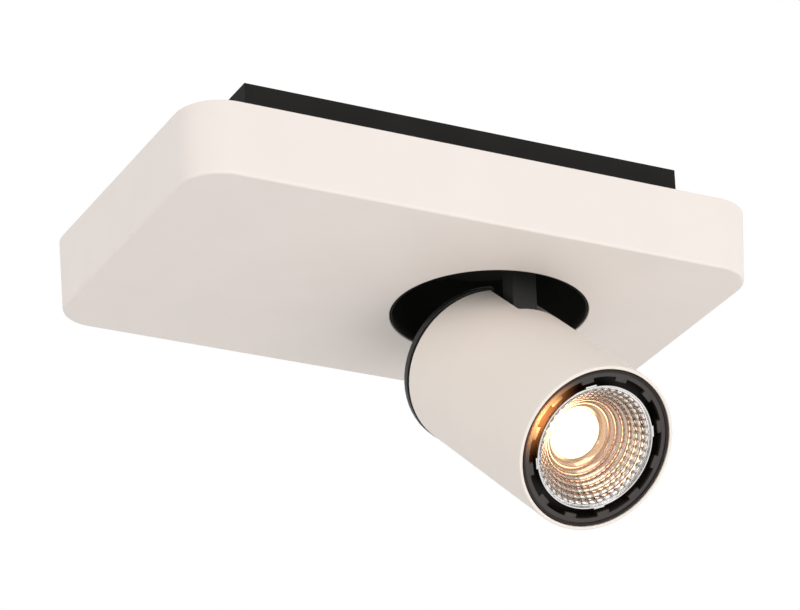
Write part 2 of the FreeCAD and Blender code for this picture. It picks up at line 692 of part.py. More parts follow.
def make_lamp_shell():
    """The cream tube: slotted at the rear for the arm, with a ledge inside for the heat sink."""
    ledge_top = SINK_FACE - SINK_DISC
    ledge_r = SHELL_BORE_R - LEDGE_WIDTH
    profile = [(SHELL_R, 0), (SHELL_R, SHELL_LENGTH), (SHELL_BORE_R, SHELL_LENGTH),
               (SHELL_BORE_R, ledge_top), (ledge_r, ledge_top), (ledge_r, ledge_top - LEDGE_HEIGHT),
               (SHELL_BORE_R, ledge_top - LEDGE_HEIGHT), (SHELL_BORE_R, 0)]
    half = SLOT_WIDTH / 2
    slot = block(-half, half, 0, SHELL_R + 1, -1, SLOT_LENGTH)
    corners = [e for e in slot.Edges if edge_is_at(e, SLOT_LENGTH, half)]
    return turned(profile).cut(slot.makeFillet(SLOT_CORNER_R, corners))


def edge_is_at(edge, z, half_width):
    """Whether an edge runs along Y at height z on either side of a centred block."""
    middle = edge.BoundBox.Center
    on_side = abs(abs(middle.x) - half_width) < TINY
    return on_side and abs(middle.z - z) < TINY and edge.BoundBox.YLength > TINY


def cap_screw_centres():
    step = 360 / CAP_SCREW_COUNT
    return [polar(CAP_SCREW_CIRCLE_R, -90 + step * i) for i in range(CAP_SCREW_COUNT)]


def make_rear_cap():
    """The black end cap, held off the shell by a groove and notched for the arm."""
    back = -CAP_GROOVE - CAP_DISC
    spigot_r = SHELL_BORE_R - SEAT_GAP
    inner_r = spigot_r - CAP_WALL
    profile = [(0, back), (CAP_R, back), (CAP_R, -CAP_GROOVE), (CAP_NECK_R, -CAP_GROOVE),
               (CAP_NECK_R, 0), (spigot_r, 0), (spigot_r, CAP_SPIGOT), (inner_r, CAP_SPIGOT),
               (inner_r, -CAP_GROOVE), (0, -CAP_GROOVE)]
    half = ARM_WIDTH / 2 + NOTCH_SIDE_GAP
    notch = block(-half, half, NOTCH_FLOOR_Y, CAP_R + 1, back - 1, CAP_SPIGOT + 1)
    holes = [cylinder(M3[0] + HOLE_GAP, back - 1, 0, c.x, c.y) for c in cap_screw_centres()]
    return cut_all(turned(profile), [notch] + holes)


def make_cap_screws():
    back = -CAP_GROOVE - CAP_DISC
    return Part.makeCompound([pan_screw(M3, CAP_SCREW_LENGTH, back, c.x, c.y)
                              for c in cap_screw_centres()])


def bracket_screw_centres():
    """z along the lamp of the two screws that hold the hinge bracket."""
    first = PIVOT_FROM_REAR + BRACKET_SCREW_FIRST
    return [first, first + BRACKET_SCREW_PITCH]


def make_heat_sink():
    """A core with radial fins behind the disc that the LED sits on, cut away at the hinge."""
    disc_back = SINK_FACE - SINK_DISC
    pieces = [cylinder(SINK_CORE_R, -CAP_GROOVE, disc_back),
              cylinder(SHELL_BORE_R - SEAT_GAP, disc_back, SINK_FACE)]
    step = 360 / SINK_FIN_COUNT
    for i in range(SINK_FIN_COUNT):
        from_slot = abs((step * (i + 0.5) + 180) % 360 - 180)
        start = SINK_POCKET_LENGTH if from_slot < SINK_POCKET_ANGLE else SINK_FIN_START
        fin = block(SINK_CORE_R - 1, SINK_FIN_R, -SINK_FIN / 2, SINK_FIN / 2, start, disc_back)
        fin.rotate(Vector(), Z_AXIS, 90 + step * (i + 0.5))
        pieces.append(fin)
    reach = SINK_CORE_R + 1
    cutters = [block(-reach, reach, SEAT_Y, reach, -CAP_GROOVE - 1, SINK_POCKET_LENGTH)]
    for z in bracket_screw_centres():
        start = Vector(0, SEAT_Y - BRACKET_THREAD, z)
        cutters.append(Part.makeCylinder(M3[0] + HOLE_GAP, BRACKET_THREAD + 1, start, Y_AXIS))
    cap_thread = CAP_SCREW_LENGTH - CAP_DISC - CAP_GROOVE
    for c in cap_screw_centres():
        cutters.append(cylinder(M3[0] + HOLE_GAP, -CAP_GROOVE - 1, cap_thread, c.x, c.y))
    for x in (-HOLDER_SCREW_CIRCLE_R, HOLDER_SCREW_CIRCLE_R):
        cutters.append(cylinder(M3[0] + HOLE_GAP, disc_back + 1, SINK_FACE + 1, x, 0))
    return cut_all(fused(pieces), cutters)


def make_hinge_bracket():
    """A steel channel on the heat sink whose two ears take the pivot screw."""
    rear = PIVOT_FROM_REAR - EAR_R
    front = PIVOT_FROM_REAR + BRACKET_REACH
    pieces = [block(-EAR_OUTER_X, EAR_OUTER_X, SEAT_Y, SEAT_Y + BRACKET_SHEET, rear, front)]
    cutters = []
    for side in (-1, 1):
        x = EAR_INNER_X if side > 0 else -EAR_OUTER_X
        pieces.append(block(x, x + EAR_SHEET, SEAT_Y, ARM_OFFSET, rear, PIVOT_FROM_REAR + EAR_R))
        start = Vector(x, ARM_OFFSET, PIVOT_FROM_REAR)
        pieces.append(Part.makeCylinder(EAR_R, EAR_SHEET, start, X_AXIS))
        cutters.append(Part.makeCylinder(PIVOT_R + HOLE_GAP, EAR_SHEET, start, X_AXIS))
    for z in bracket_screw_centres():
        start = Vector(0, SEAT_Y - 1, z)
        cutters.append(Part.makeCylinder(M3[0] + HOLE_GAP, BRACKET_SHEET + 2, start, Y_AXIS))
    return cut_all(fused(pieces), cutters)


def make_bracket_screws():
    shank_r, head_r, head_height = M3
    top = SEAT_Y + BRACKET_SHEET
    length = BRACKET_SHEET + BRACKET_THREAD - 1
    screws = []
    for z in bracket_screw_centres():
        head = Part.makeCylinder(head_r, head_height, Vector(0, top, z), Y_AXIS)
        shank = Part.makeCylinder(shank_r, length, Vector(0, top - length, z), Y_AXIS)
        reach = head_r * 1.2
        slot = centred_block(0, 0, reach, DRIVE_WIDTH, 0, DRIVE_DEPTH)
        slot.rotate(Vector(), X_AXIS, -90)
        slot.translate(Vector(0, top + head_height - DRIVE_DEPTH, z))
        screws.append(fused([head, shank]).cut(slot))
    return Part.makeCompound(screws)


def make_pivot_screw():
    start = Vector(-EAR_OUTER_X - PIVOT_NUT_HEIGHT, ARM_OFFSET, PIVOT_FROM_REAR)
    length = 2 * EAR_OUTER_X + PIVOT_NUT_HEIGHT
    shank = Part.makeCylinder(PIVOT_R, length, start, X_AXIS)
    head = Part.makeCylinder(PIVOT_HEAD_R, PIVOT_HEAD_HEIGHT,
                             Vector(EAR_OUTER_X, ARM_OFFSET, PIVOT_FROM_REAR), X_AXIS)
    return fused([shank, head])


def make_pivot_nut():
    nut = hex_prism(PIVOT_NUT_FLATS, 0, PIVOT_NUT_HEIGHT)
    nut = nut.cut(cylinder(PIVOT_R + HOLE_GAP, -1, PIVOT_NUT_HEIGHT + 1))
    nut.rotate(Vector(), Y_AXIS, -90)
    nut.translate(Vector(-EAR_OUTER_X, ARM_OFFSET, PIVOT_FROM_REAR))
    return nut


def make_friction_washers():
    washers = []
    for x in (EAR_INNER_X - FRICTION_WASHER, -EAR_INNER_X):
        washer = tube(FRICTION_WASHER_R, PIVOT_R + HOLE_GAP, 0, FRICTION_WASHER)
        washer.rotate(Vector(), Y_AXIS, 90)
        washer.translate(Vector(x, ARM_OFFSET, PIVOT_FROM_REAR))
        washers.append(washer)
    return Part.makeCompound(washers)


# ---------------------------------------------------------------- LED and optic
def make_thermal_pad():
    return centred_block(0, 0, COB_SIDE, COB_SIDE, SINK_FACE, COB_Z)


def make_led_board():
    return centred_block(0, 0, COB_SIDE, COB_SIDE, COB_Z, EMITTER_Z)


def make_led_emitter():
    return cylinder(EMITTER_R, EMITTER_Z, EMITTER_Z + EMITTER_HEIGHT)


def make_led_holder():
    """The plastic ring that clamps the LED's board to the heat sink."""
    side = COB_SIDE + 2 * HOLE_GAP
    pocket_top = EMITTER_Z + HOLE_GAP
    cutters = [centred_block(0, 0, side, side, SINK_FACE - 1, pocket_top),
               cylinder(HOLDER_BORE_R, pocket_top - 1, HOLDER_TOP + 1)]
    for x in (-HOLDER_SCREW_CIRCLE_R, HOLDER_SCREW_CIRCLE_R):
        cutters.append(cylinder(M3[0] + HOLE_GAP, SINK_FACE - 1, HOLDER_TOP + 1, x, 0))
    return cut_all(cylinder(HOLDER_R, SINK_FACE, HOLDER_TOP), cutters)


def make_led_holder_screws():
    length = HOLDER_HEIGHT + SINK_DISC - 2
    screws = []
    for x in (-HOLDER_SCREW_CIRCLE_R, HOLDER_SCREW_CIRCLE_R):
        screw = reversed_screw(pan_screw(M3, length, 0), 0)
        screw.translate(Vector(x, 0, HOLDER_TOP))
        screws.append(screw)
    return Part.makeCompound(screws)


def reflector_radius(height):
    """The reflector's inner radius at a height above its foot."""
    share = height / REFLECTOR_HEIGHT
    return REFLECTOR_THROAT_R + (REFLECTOR_MOUTH_R - REFLECTOR_THROAT_R) * share ** REFLECTOR_CURVE


def make_reflector():
    """A stepped bright bowl, with a lip that holds the front lens."""
    heights = [REFLECTOR_HEIGHT * i / REFLECTOR_RINGS for i in range(REFLECTOR_RINGS + 1)]
    inner = [(reflector_radius(h), REFLECTOR_FOOT + h) for h in heights]
    outer = [(r + REFLECTOR_WALL, z) for r, z in inner]
    lip_r = REFLECTOR_MOUTH_R + REFLECTOR_WALL
    lip = [(lip_r - LIP_WALL, LENS_SEAT), (lip_r - LIP_WALL, LENS_SEAT + LIP_HEIGHT),
           (lip_r, LENS_SEAT + LIP_HEIGHT)]
    return turned(inner + lip + outer[::-1])


def make_front_lens():
    lens_r = REFLECTOR_MOUTH_R + REFLECTOR_WALL - LIP_WALL - HOLE_GAP
    return cylinder(lens_r, LENS_SEAT, LENS_SEAT + LENS_THICKNESS)


def make_optic_carrier():
    """A black cup round the reflector, between the heat sink and the front ring."""
    outer_r = RING_R
    inner_r = outer_r - CARRIER_WALL
    plate_foot = CARRIER_TOP - CARRIER_PLATE
    hole_r = reflector_radius(CARRIER_TOP - REFLECTOR_FOOT) + REFLECTOR_WALL + SEAT_GAP
    profile = [(outer_r, SINK_FACE), (outer_r, CARRIER_TOP), (hole_r, CARRIER_TOP),
               (hole_r, plate_foot), (inner_r, plate_foot), (inner_r, SINK_FACE)]
    return turned(profile)


def make_front_ring():
    """The black ring inside the shell's mouth, toothed round its inner edge."""
    skirt_inner_r = RING_R - RING_SKIRT
    face_back = RING_FRONT - RING_FACE
    rim_front = RING_FRONT + RING_RIM_RISE
    rim_inner_r = RING_R - RING_RIM_WIDTH
    profile = [(skirt_inner_r, CARRIER_TOP), (RING_R, CARRIER_TOP), (RING_R, rim_front - RING_BEVEL),
               (RING_R - RING_BEVEL, rim_front), (rim_inner_r, rim_front), (rim_inner_r, RING_FRONT),
               (RING_FACE_INNER_R, RING_FRONT), (RING_FACE_INNER_R, face_back), (skirt_inner_r, face_back)]
    pieces = [turned(profile)]
    half = RING_TOOTH_ANGLE / 2
    for i in range(RING_TOOTH_COUNT):
        middle = 360 * i / RING_TOOTH_COUNT
        pieces.append(ring_sector(RING_TOOTH_R, RING_FACE_INNER_R + 0.5, middle - half, middle + half,
                                  face_back, RING_FRONT))
    return fused(pieces)


def ring_sector(inner_r, outer_r, start, end, z_low, z_high):
    middle = (start + end) / 2
    arcs = [Part.Arc(*(polar(r, a, z_low) for a in angles)).toShape()
            for r, angles in ((inner_r, (start, middle, end)), (outer_r, (end, middle, start)))]
    sides = [Part.makeLine(polar(inner_r, end, z_low), polar(outer_r, end, z_low)),
             Part.makeLine(polar(outer_r, start, z_low), polar(inner_r, start, z_low))]
    wire = Part.Wire([arcs[0], sides[0], arcs[1], sides[1]])
    return Part.Face(wire).extrude(Vector(0, 0, z_high - z_low))


# ---------------------------------------------------------------- supply side
def make_entry_grommet():
    """A rubber bush in the chassis plate, flush with the ceiling face."""
    flange_foot = PLATE_Z - ENTRY_FLANGE
    foot = flange_foot - ENTRY_NOZZLE
    profile = [(ENTRY_BORE_R, 0), (ENTRY_HOLE_R, 0), (ENTRY_HOLE_R, PLATE_Z), (ENTRY_FLANGE_R, PLATE_Z),
               (ENTRY_FLANGE_R, flange_foot), (ENTRY_NOZZLE_R, flange_foot),
               (ENTRY_NOZZLE_R, foot), (ENTRY_BORE_R, foot)]
    grommet = turned(profile)
    grommet.translate(Vector(ENTRY_X, 0, 0))
    return grommet


def make_cord_clamp():
    """A bridge that grips the supply cord against the chassis plate."""
    bar = centred_block(ENTRY_X, CLAMP_Y, CLAMP_LENGTH, CLAMP_WIDTH, PLATE_Z - CLAMP_HEIGHT, PLATE_Z)
    start = Vector(ENTRY_X, CLAMP_Y - CLAMP_WIDTH / 2 - 1, PLATE_Z)
    cutters = [Part.makeCylinder(CLAMP_GROOVE_R, CLAMP_WIDTH + 2, start, Y_AXIS)]
    for x, y in clamp_screw_centres():
        cutters.append(cylinder(M3[0] + HOLE_GAP, PLATE_Z - CLAMP_HEIGHT - 1, 1, x, y))
    return cut_all(bar, cutters)


def plate_screw(size, stack, x, y):
    """A pan head screw through stack millimetres of pieces under the chassis plate."""
    return pan_screw(size, stack + CHASSIS_SHEET - SLIP_GAP, PLATE_Z - stack, x, y)


def make_cord_clamp_screws():
    return Part.makeCompound([plate_screw(M3, CLAMP_HEIGHT, x, y) for x, y in clamp_screw_centres()])


def terminal_ways():
    first = ENTRY_X - TERMINAL_PITCH * (TERMINAL_WAYS - 1) / 2
    return [first + TERMINAL_PITCH * i for i in range(TERMINAL_WAYS)]


def make_terminal_block():
    foot = PLATE_Z - TERMINAL_HEIGHT
    body = centred_block(ENTRY_X, TERMINAL_Y, TERMINAL_LENGTH, TERMINAL_WIDTH, foot, PLATE_Z)
    cutters = []
    wire_z = PLATE_Z - TERMINAL_HEIGHT / 2
    for x in terminal_ways():
        start = Vector(x, TERMINAL_Y - TERMINAL_WIDTH / 2 - 1, wire_z)
        cutters.append(Part.makeCylinder(TERMINAL_WIRE_R, TERMINAL_WIDTH + 2, start, Y_AXIS))
        for side in (-1, 1):
            y = TERMINAL_Y + side * TERMINAL_SCREW_ROW / 2
            cutters.append(cylinder(TERMINAL_SCREW_R + HOLE_GAP, foot - 1, wire_z, x, y))
    cutters.append(cylinder(M3[1] + HOLE_GAP, foot - 1, TERMINAL_SEAT_Z, ENTRY_X, TERMINAL_Y))
    cutters.append(cylinder(M3[0] + HOLE_GAP, foot - 1, 1, ENTRY_X, TERMINAL_Y))
    return cut_all(body, cutters)


def make_terminal_screws():
    """The six brass clamping screws of the terminal block."""
    foot = PLATE_Z - TERMINAL_HEIGHT + TERMINAL_SCREW_SINK
    wire_z = PLATE_Z - TERMINAL_HEIGHT / 2
    screws = []
    for x in terminal_ways():
        for side in (-1, 1):
            y = TERMINAL_Y + side * TERMINAL_SCREW_ROW / 2
            slot = centred_block(x, y, 3 * TERMINAL_SCREW_R, DRIVE_WIDTH, foot - 1, foot + DRIVE_DEPTH)
            screws.append(cylinder(TERMINAL_SCREW_R, foot, wire_z, x, y).cut(slot))
    return Part.makeCompound(screws)


def make_terminal_fixing_screw():
    return plate_screw(M3, TERMINAL_FLOOR, ENTRY_X, TERMINAL_Y)


def make_earth_washer():
    return tube(EARTH_WASHER_R, M4[0] + HOLE_GAP, PLATE_Z - EARTH_WASHER, PLATE_Z, ENTRY_X, EARTH_Y)


def make_earth_screw():
    return plate_screw(M4, EARTH_WASHER, ENTRY_X, EARTH_Y)


def make_driver_case():
    """The LED driver's case, open below, with a lug at each end."""
    foot = PLATE_Z - DRIVER_HEIGHT
    case = centred_block(DRIVER_X, 0, DRIVER_WIDTH, DRIVER_LENGTH, foot, PLATE_Z)
    inside = centred_block(DRIVER_X, 0, DRIVER_WIDTH - 2 * DRIVER_WALL, DRIVER_LENGTH - 2 * DRIVER_WALL,
                           foot - 1, PLATE_Z - DRIVER_WALL)
    lugs = centred_block(DRIVER_X, 0, DRIVER_LUG_WIDTH, DRIVER_LENGTH + 2 * DRIVER_LUG,
                         PLATE_Z - DRIVER_LUG_SHEET, PLATE_Z)
    holes = [cylinder(M3[0] + HOLE_GAP, foot, 1, x, y) for x, y in driver_screw_centres()]
    return cut_all(fused([case, lugs]), [inside] + holes)


def make_driver_lid():
    foot = PLATE_Z - DRIVER_HEIGHT
    return centred_block(DRIVER_X, 0, DRIVER_WIDTH, DRIVER_LENGTH, foot - DRIVER_LID, foot)


def make_driver_board():
    """The driver's circuit board with its transformer and two capacitors."""
    top = PLATE_Z - DRIVER_WALL - BOARD_DROP
    foot = top - BOARD_THICKNESS
    length = DRIVER_LENGTH - 2 * DRIVER_WALL - 2 * SEAT_GAP
    width = DRIVER_WIDTH - 2 * DRIVER_WALL - 2 * SEAT_GAP
    pieces = [centred_block(DRIVER_X, 0, width, length, foot, top),
              centred_block(DRIVER_X, 0, TRANSFORMER_SIDE, TRANSFORMER_SIDE, foot - TRANSFORMER_HEIGHT, foot)]
    for side in (-1, 1):
        y = side * length / 4
        pieces.append(cylinder(CAPACITOR_R, foot - CAPACITOR_HEIGHT, foot, DRIVER_X, y))
    return fused(pieces)


def make_driver_screws():
    return Part.makeCompound([plate_screw(M3, DRIVER_LUG_SHEET, x, y) for x, y in driver_screw_centres()])


# ---------------------------------------------------------------- assembly
FIXED = {
    "chassis": make_chassis,
    "canopy": make_canopy,
    "canopy_catches": make_canopy_catches,
    "canopy_springs": make_canopy_springs,
    "spring_rivets": make_spring_rivets,
    "recess_cup": make_recess_cup,
    "cup_standoffs": make_cup_standoffs,
    "cup_screws": make_cup_screws,
    "stop_pin": make_stop_pin,
    "swivel_bush": make_swivel_bush,
    "thrust_washer": make_thrust_washer,
    "entry_grommet": make_entry_grommet,
    "cord_clamp": make_cord_clamp,
    "cord_clamp_screws": make_cord_clamp_screws,
    "terminal_block": make_terminal_block,
    "terminal_screws": make_terminal_screws,
    "terminal_fixing_screw": make_terminal_fixing_screw,
    "earth_washer": make_earth_washer,
    "earth_screw": make_earth_screw,
    "driver_case": make_driver_case,
    "driver_lid": make_driver_lid,
    "driver_board": make_driver_board,
    "driver_screws": make_driver_screws,
}
SWIVEL = {
    "turntable": make_turntable,
    "swivel_stem": make_swivel_stem,
    "spring_washer": make_spring_washer,
    "swivel_nut": make_swivel_nut,
    "lock_nut": make_lock_nut,
    "arm": make_arm,
    "arm_screws": make_arm_screws,
}
HEAD = {
    "lamp_shell": make_lamp_shell,
    "rear_cap": make_rear_cap,
    "cap_screws": make_cap_screws,
    "heat_sink": make_heat_sink,
    "hinge_bracket": make_hinge_bracket,
    "bracket_screws": make_bracket_screws,
    "pivot_screw": make_pivot_screw,
    "pivot_nut": make_pivot_nut,
    "friction_washers": make_friction_washers,
    "thermal_pad": make_thermal_pad,
    "led_board": make_led_board,
    "led_emitter": make_led_emitter,
    "led_holder": make_led_holder,
    "led_holder_screws": make_led_holder_screws,
    "optic_carrier": make_optic_carrier,
    "reflector": make_reflector,
    "front_lens": make_front_lens,
    "front_ring": make_front_ring,
}


def export(makers, placement):
    for node, make in makers.items():
        shape = make()
        shape.Placement = placement.multiply(shape.Placement)
        shape.exportStep("parts/" + node + ".step")


os.makedirs("parts", exist_ok=True)
export(FIXED, Placement())
export(SWIVEL, swivel_placement())
export(HEAD, head_placement())
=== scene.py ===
# %% [markdown]
# # A surface mounted ceiling spotlight
#
# The lamp hangs from a ceiling and is seen from below. A pale canopy hides a black chassis, and a
# short tube of a lamp swivels and tilts in a round recess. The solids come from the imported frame,
# so every piece made here goes where its solid is. The lesson goes from the outside in: camera and
# light, finishes, the painted pieces, the lamp's mouth with its toothed ring and its reflector,
# and the small fasteners.

# %% Load the frame
import bmesh
import bpy
import json
import math
from mathutils import Matrix, Vector


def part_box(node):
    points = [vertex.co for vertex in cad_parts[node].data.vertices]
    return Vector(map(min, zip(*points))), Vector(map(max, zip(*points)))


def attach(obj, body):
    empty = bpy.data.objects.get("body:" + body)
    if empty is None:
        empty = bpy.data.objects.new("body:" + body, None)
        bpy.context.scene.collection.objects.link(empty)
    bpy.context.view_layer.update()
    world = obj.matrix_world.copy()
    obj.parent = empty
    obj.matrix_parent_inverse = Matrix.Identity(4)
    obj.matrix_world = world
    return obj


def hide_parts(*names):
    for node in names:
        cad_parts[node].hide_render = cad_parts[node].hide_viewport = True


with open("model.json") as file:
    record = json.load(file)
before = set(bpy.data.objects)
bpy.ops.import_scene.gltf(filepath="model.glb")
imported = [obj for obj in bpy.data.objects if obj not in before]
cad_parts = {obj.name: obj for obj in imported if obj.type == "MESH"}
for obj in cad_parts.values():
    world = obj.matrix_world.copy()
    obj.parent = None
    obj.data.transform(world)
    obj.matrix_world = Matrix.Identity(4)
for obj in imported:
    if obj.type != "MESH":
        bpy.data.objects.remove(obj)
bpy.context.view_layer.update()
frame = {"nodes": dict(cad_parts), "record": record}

# %% [markdown]
# ## Where things are
#
# Drawings of small hardware are in millimetres and Blender works in metres, so one helper turns
# one into the other. The lamp head is drawn upright, with its rear rim at zero and its mouth up,
# and one matrix then swings it to the place and aim that it has in the photograph. That way the
# head's own sizes stay readable.

# %% Frames of the swivel and of the lamp head
MM = 0.001
HOLE_X = 36.6
PAN_REST = math.radians(7.5)
TILT_REST = math.radians(49.5)
ARM_OFFSET = 20.2
PIVOT_Z = -62.1
PIVOT_FROM_REAR = 16.3
SHELL_LENGTH = 89.4


def at(x, y, z):
    """A move by so many millimetres."""
    return Matrix.Translation(Vector((x, y, z)) * MM)


SWIVEL = at(HOLE_X, 0, 0) @ Matrix.Rotation(PAN_REST, 4, "Z")
HEAD = SWIVEL @ at(0, -ARM_OFFSET, PIVOT_Z) @ Matrix.Rotation(math.pi - TILT_REST, 4, "X")
HEAD = HEAD @ at(0, -ARM_OFFSET, -PIVOT_FROM_REAR)
print("lamp mouth at", [round(v, 4) for v in HEAD @ Vector((0, 0, SHELL_LENGTH * MM))])

# %% [markdown]
# ## The camera
#
# The photograph was taken from below and from the left with a long lens, which keeps the canopy's
# edges nearly parallel. The camera could be set by eye, but then every edge would be a little off.
# The direction, distance and lens below were worked out from the canopy's edges. The camera is
# turned by a small roll as well, as a hand-held or tilted set-up gives.

# %% Camera
AZIMUTH = math.radians(-27.0227)
ELEVATION = math.radians(-25.0771)
ROLL = math.radians(-1.8967)
DISTANCE = 1530.738
AIM_Z = -23.0
SLIDE_RIGHT = 0.403
SLIDE_UP = 23.375
LENS = 181.594
SENSOR_WIDTH = 36.0
SEES_TO = 50.0

back = Vector((math.sin(AZIMUTH) * math.cos(ELEVATION), -math.cos(AZIMUTH) * math.cos(ELEVATION),
               math.sin(ELEVATION)))
level_right = (-back).cross(Vector((0, 0, 1))).normalized()
level_up = level_right.cross(-back)
right = math.cos(ROLL) * level_right + math.sin(ROLL) * level_up
up = math.cos(ROLL) * level_up - math.sin(ROLL) * level_right
place = Vector((0, 0, AIM_Z)) + back * DISTANCE - right * SLIDE_RIGHT - up * SLIDE_UP
turn = Matrix((right, up, back)).transposed().to_4x4()

camera_data = bpy.data.cameras.new("camera")
camera_data.lens = LENS
camera_data.sensor_width = SENSOR_WIDTH
camera_data.clip_end = SEES_TO
camera = bpy.data.objects.new("camera", camera_data)
camera.matrix_world = Matrix.Translation(place * MM) @ turn
bpy.context.scene.collection.objects.link(camera)
bpy.context.scene.camera = camera
print("camera at", [round(v, 3) for v in camera.location], "metres")

# %% [markdown]
# ## Light and background
#
# The picture has a white ground and soft light from the front. A plain world lights the object. A
# white one takes its place for rays from the camera, off a gloss and through glass, so the ground
# is white and never overexposes the pale paint. A sky picture could light the object too, but its
# own colours would show in every gloss. Large square lamps make the broad soft falloff over the
# canopy. The floor is as far below as in a room, which keeps it out of the picture and still takes
# the shadow when the lamp is seen from above.


# %% One Math node
def number(tree, operation, a, b=None):
    """The result of one Math node; a and b are sockets or plain numbers."""
    node = tree.nodes.new("ShaderNodeMath")
    node.operation = operation
    for socket, value in zip(node.inputs, (a, b)):
        if value is None:
            continue
        if isinstance(value, (int, float)):
            socket.default_value = value
        else:
            tree.links.new(value, socket)
    return node.outputs[0]


print("math helper ready")

# %% World and view
WORLD_LEVEL = 0.61
SOFT_WHITE = (1.0, 0.985, 0.965, 1)
WHITE = (1, 1, 1, 1)
scene = bpy.context.scene
scene.view_settings.view_transform = "Standard"


def seen_ray(tree):
    """A socket that is 1 for a ray from the camera, off a glossy surface or through glass."""
    ray = tree.nodes.new("ShaderNodeLightPath").outputs
    camera_or_gloss = number(tree, "MAXIMUM", ray["Is Camera Ray"], ray["Is Glossy Ray"])
    return number(tree, "MAXIMUM", camera_or_gloss, ray["Is Transmission Ray"])


world = bpy.data.worlds.new("studio")
scene.world = world
world.use_nodes = True
sky = world.node_tree
sky.nodes.clear()
out = sky.nodes.new("ShaderNodeOutputWorld")
lighting = sky.nodes.new("ShaderNodeBackground")
lighting.inputs["Color"].default_value = SOFT_WHITE
lighting.inputs["Strength"].default_value = WORLD_LEVEL
ground = sky.nodes.new("ShaderNodeBackground")
ground.inputs["Color"].default_value = WHITE
ground.inputs["Strength"].default_value = 1.0
mix = sky.nodes.new("ShaderNodeMixShader")
sky.links.new(seen_ray(sky), mix.inputs[0])
sky.links.new(lighting.outputs[0], mix.inputs[1])
sky.links.new(ground.outputs[0], mix.inputs[2])
sky.links.new(mix.outputs[0], out.inputs["Surface"])
print("world level", WORLD_LEVEL)


# %% Soft lamps
LAMP_AIM = (0.0, 0.0, -0.04)


def soft_lamp(name, place, size, watts, colour=(1, 1, 1), target=LAMP_AIM):
    """A square lamp at a place, turned to its target; places in metres."""
    data = bpy.data.lights.new(name, "AREA")
    data.shape = "SQUARE"
    data.size = size
    data.energy = watts
    data.color = colour
    lamp = bpy.data.objects.new(name, data)
    lamp.location = place
    aim = Vector(target) - Vector(place)
    lamp.rotation_euler = aim.to_track_quat("-Z", "Y").to_euler()
    scene.collection.objects.link(lamp)


soft_lamp("front_lamp", (0.2, -1.9, -0.10), 1.4, 12.3, colour=(1.0, 0.98, 0.96))
soft_lamp("left_lamp", (-1.9, -0.4, -0.2), 1.4, 12.2)
soft_lamp("right_lamp", (1.9, -0.6, 0.1), 1.4, 4.0)
soft_lamp("low_lamp", (0.8, -1.1, -1.5), 1.6, 11.0, target=(0.05, 0.0, -0.05))
soft_lamp("top_lamp", (0.6, 0.9, 1.9), 1.6, 16.0, target=(0.0, 0.0, 0.0))

# %% [markdown]
# ## Finishes
#
# Each finish is a Principled shader with two kinds of unevenness, as on the real piece: a slow
# drift of the colour over some centimetres, and a fine bump. Powder coat has the pebbled bump
# known as orange peel, moulded plastic has a finer grain, and plated or bare metal has fine
# streaks. All of them read Object coordinates, so they sit still on a piece when it moves. A value
# that is the same all over goes straight onto the shader's socket, and only what varies is linked.


# %% Nodes of a finish
def principled(material):
    """The shader of a finish."""
    return material.node_tree.nodes["Principled BSDF"]


def finish(name, colour, roughness, metallic=0.0):
    """A plain material to start from."""
    material = bpy.data.materials.new(name)
    material.use_nodes = True
    shader = principled(material)
    shader.inputs["Base Color"].default_value = (*colour, 1)
    shader.inputs["Roughness"].default_value = roughness
    shader.inputs["Metallic"].default_value = metallic
    return material


def add(material, kind, **values):
    """A new node in a material, with some of its inputs set by name."""
    node = material.node_tree.nodes.new(kind)
    for name, value in values.items():
        node.inputs[name].default_value = value
    return node


def colour_ramp(material, value, stops):
    """The colour at a value, from (position, colour) pairs."""
    ramp = add(material, "ShaderNodeValToRGB")
    elements = ramp.color_ramp.elements
    for i, (position, colour) in enumerate(stops):
        element = elements[i] if i < 2 else elements.new(position)
        element.position = position
        element.color = (*colour, 1)
    material.node_tree.links.new(value, ramp.inputs["Fac"])
    return ramp


def mapped(material, value, old=(0.0, 1.0), new=(0.0, 1.0)):
    """A value carried from an old range to a new one."""
    node = add(material, "ShaderNodeMapRange")
    for name, limit in zip(("From Min", "From Max", "To Min", "To Max"), (*old, *new)):
        node.inputs[name].default_value = limit
    material.node_tree.links.new(value, node.inputs["Value"])
    return node.outputs[0]


print("node helpers ready")

# %% Unevenness
DRIFT_STOPS = (0.3, 0.7)


def object_noise(material, scale, detail=3.0, stretch=(1, 1, 1)):
    """Noise on the piece's own coordinates; scale is in features per metre."""
    links = material.node_tree.links
    coordinates = add(material, "ShaderNodeTexCoord")
    mapping = add(material, "ShaderNodeMapping", Scale=stretch)
    noise = add(material, "ShaderNodeTexNoise", Scale=scale, Detail=detail)
    links.new(coordinates.outputs["Object"], mapping.inputs["Vector"])
    links.new(mapping.outputs[0], noise.inputs["Vector"])
    return noise.outputs[0]


def drift(material, scale, colour, down, up):
    """A slow drift of the colour between a darker and a lighter one, given as factors."""
    tones = [[min(v * factor, 1.0) for v in colour] for factor in (down, up)]
    ramp = colour_ramp(material, object_noise(material, scale, 2.0), zip(DRIFT_STOPS, tones))
    material.node_tree.links.new(ramp.outputs["Color"], principled(material).inputs["Base Color"])


def grain(material, scale, depth, stretch=(1, 1, 1)):
    """A fine bump, depth in millimetres."""
    bump = add(material, "ShaderNodeBump", Strength=1.0, Distance=depth * MM)
    links = material.node_tree.links
    links.new(object_noise(material, scale, 3.0, stretch), bump.inputs["Height"])
    links.new(bump.outputs[0], principled(material).inputs["Normal"])


def uneven_gloss(material, scale, low, high):
    """Roughness that wanders between low and high."""
    gloss = mapped(material, object_noise(material, scale, 2.0), new=(low, high))
    material.node_tree.links.new(gloss, principled(material).inputs["Roughness"])


print("drift, grain and gloss ready")

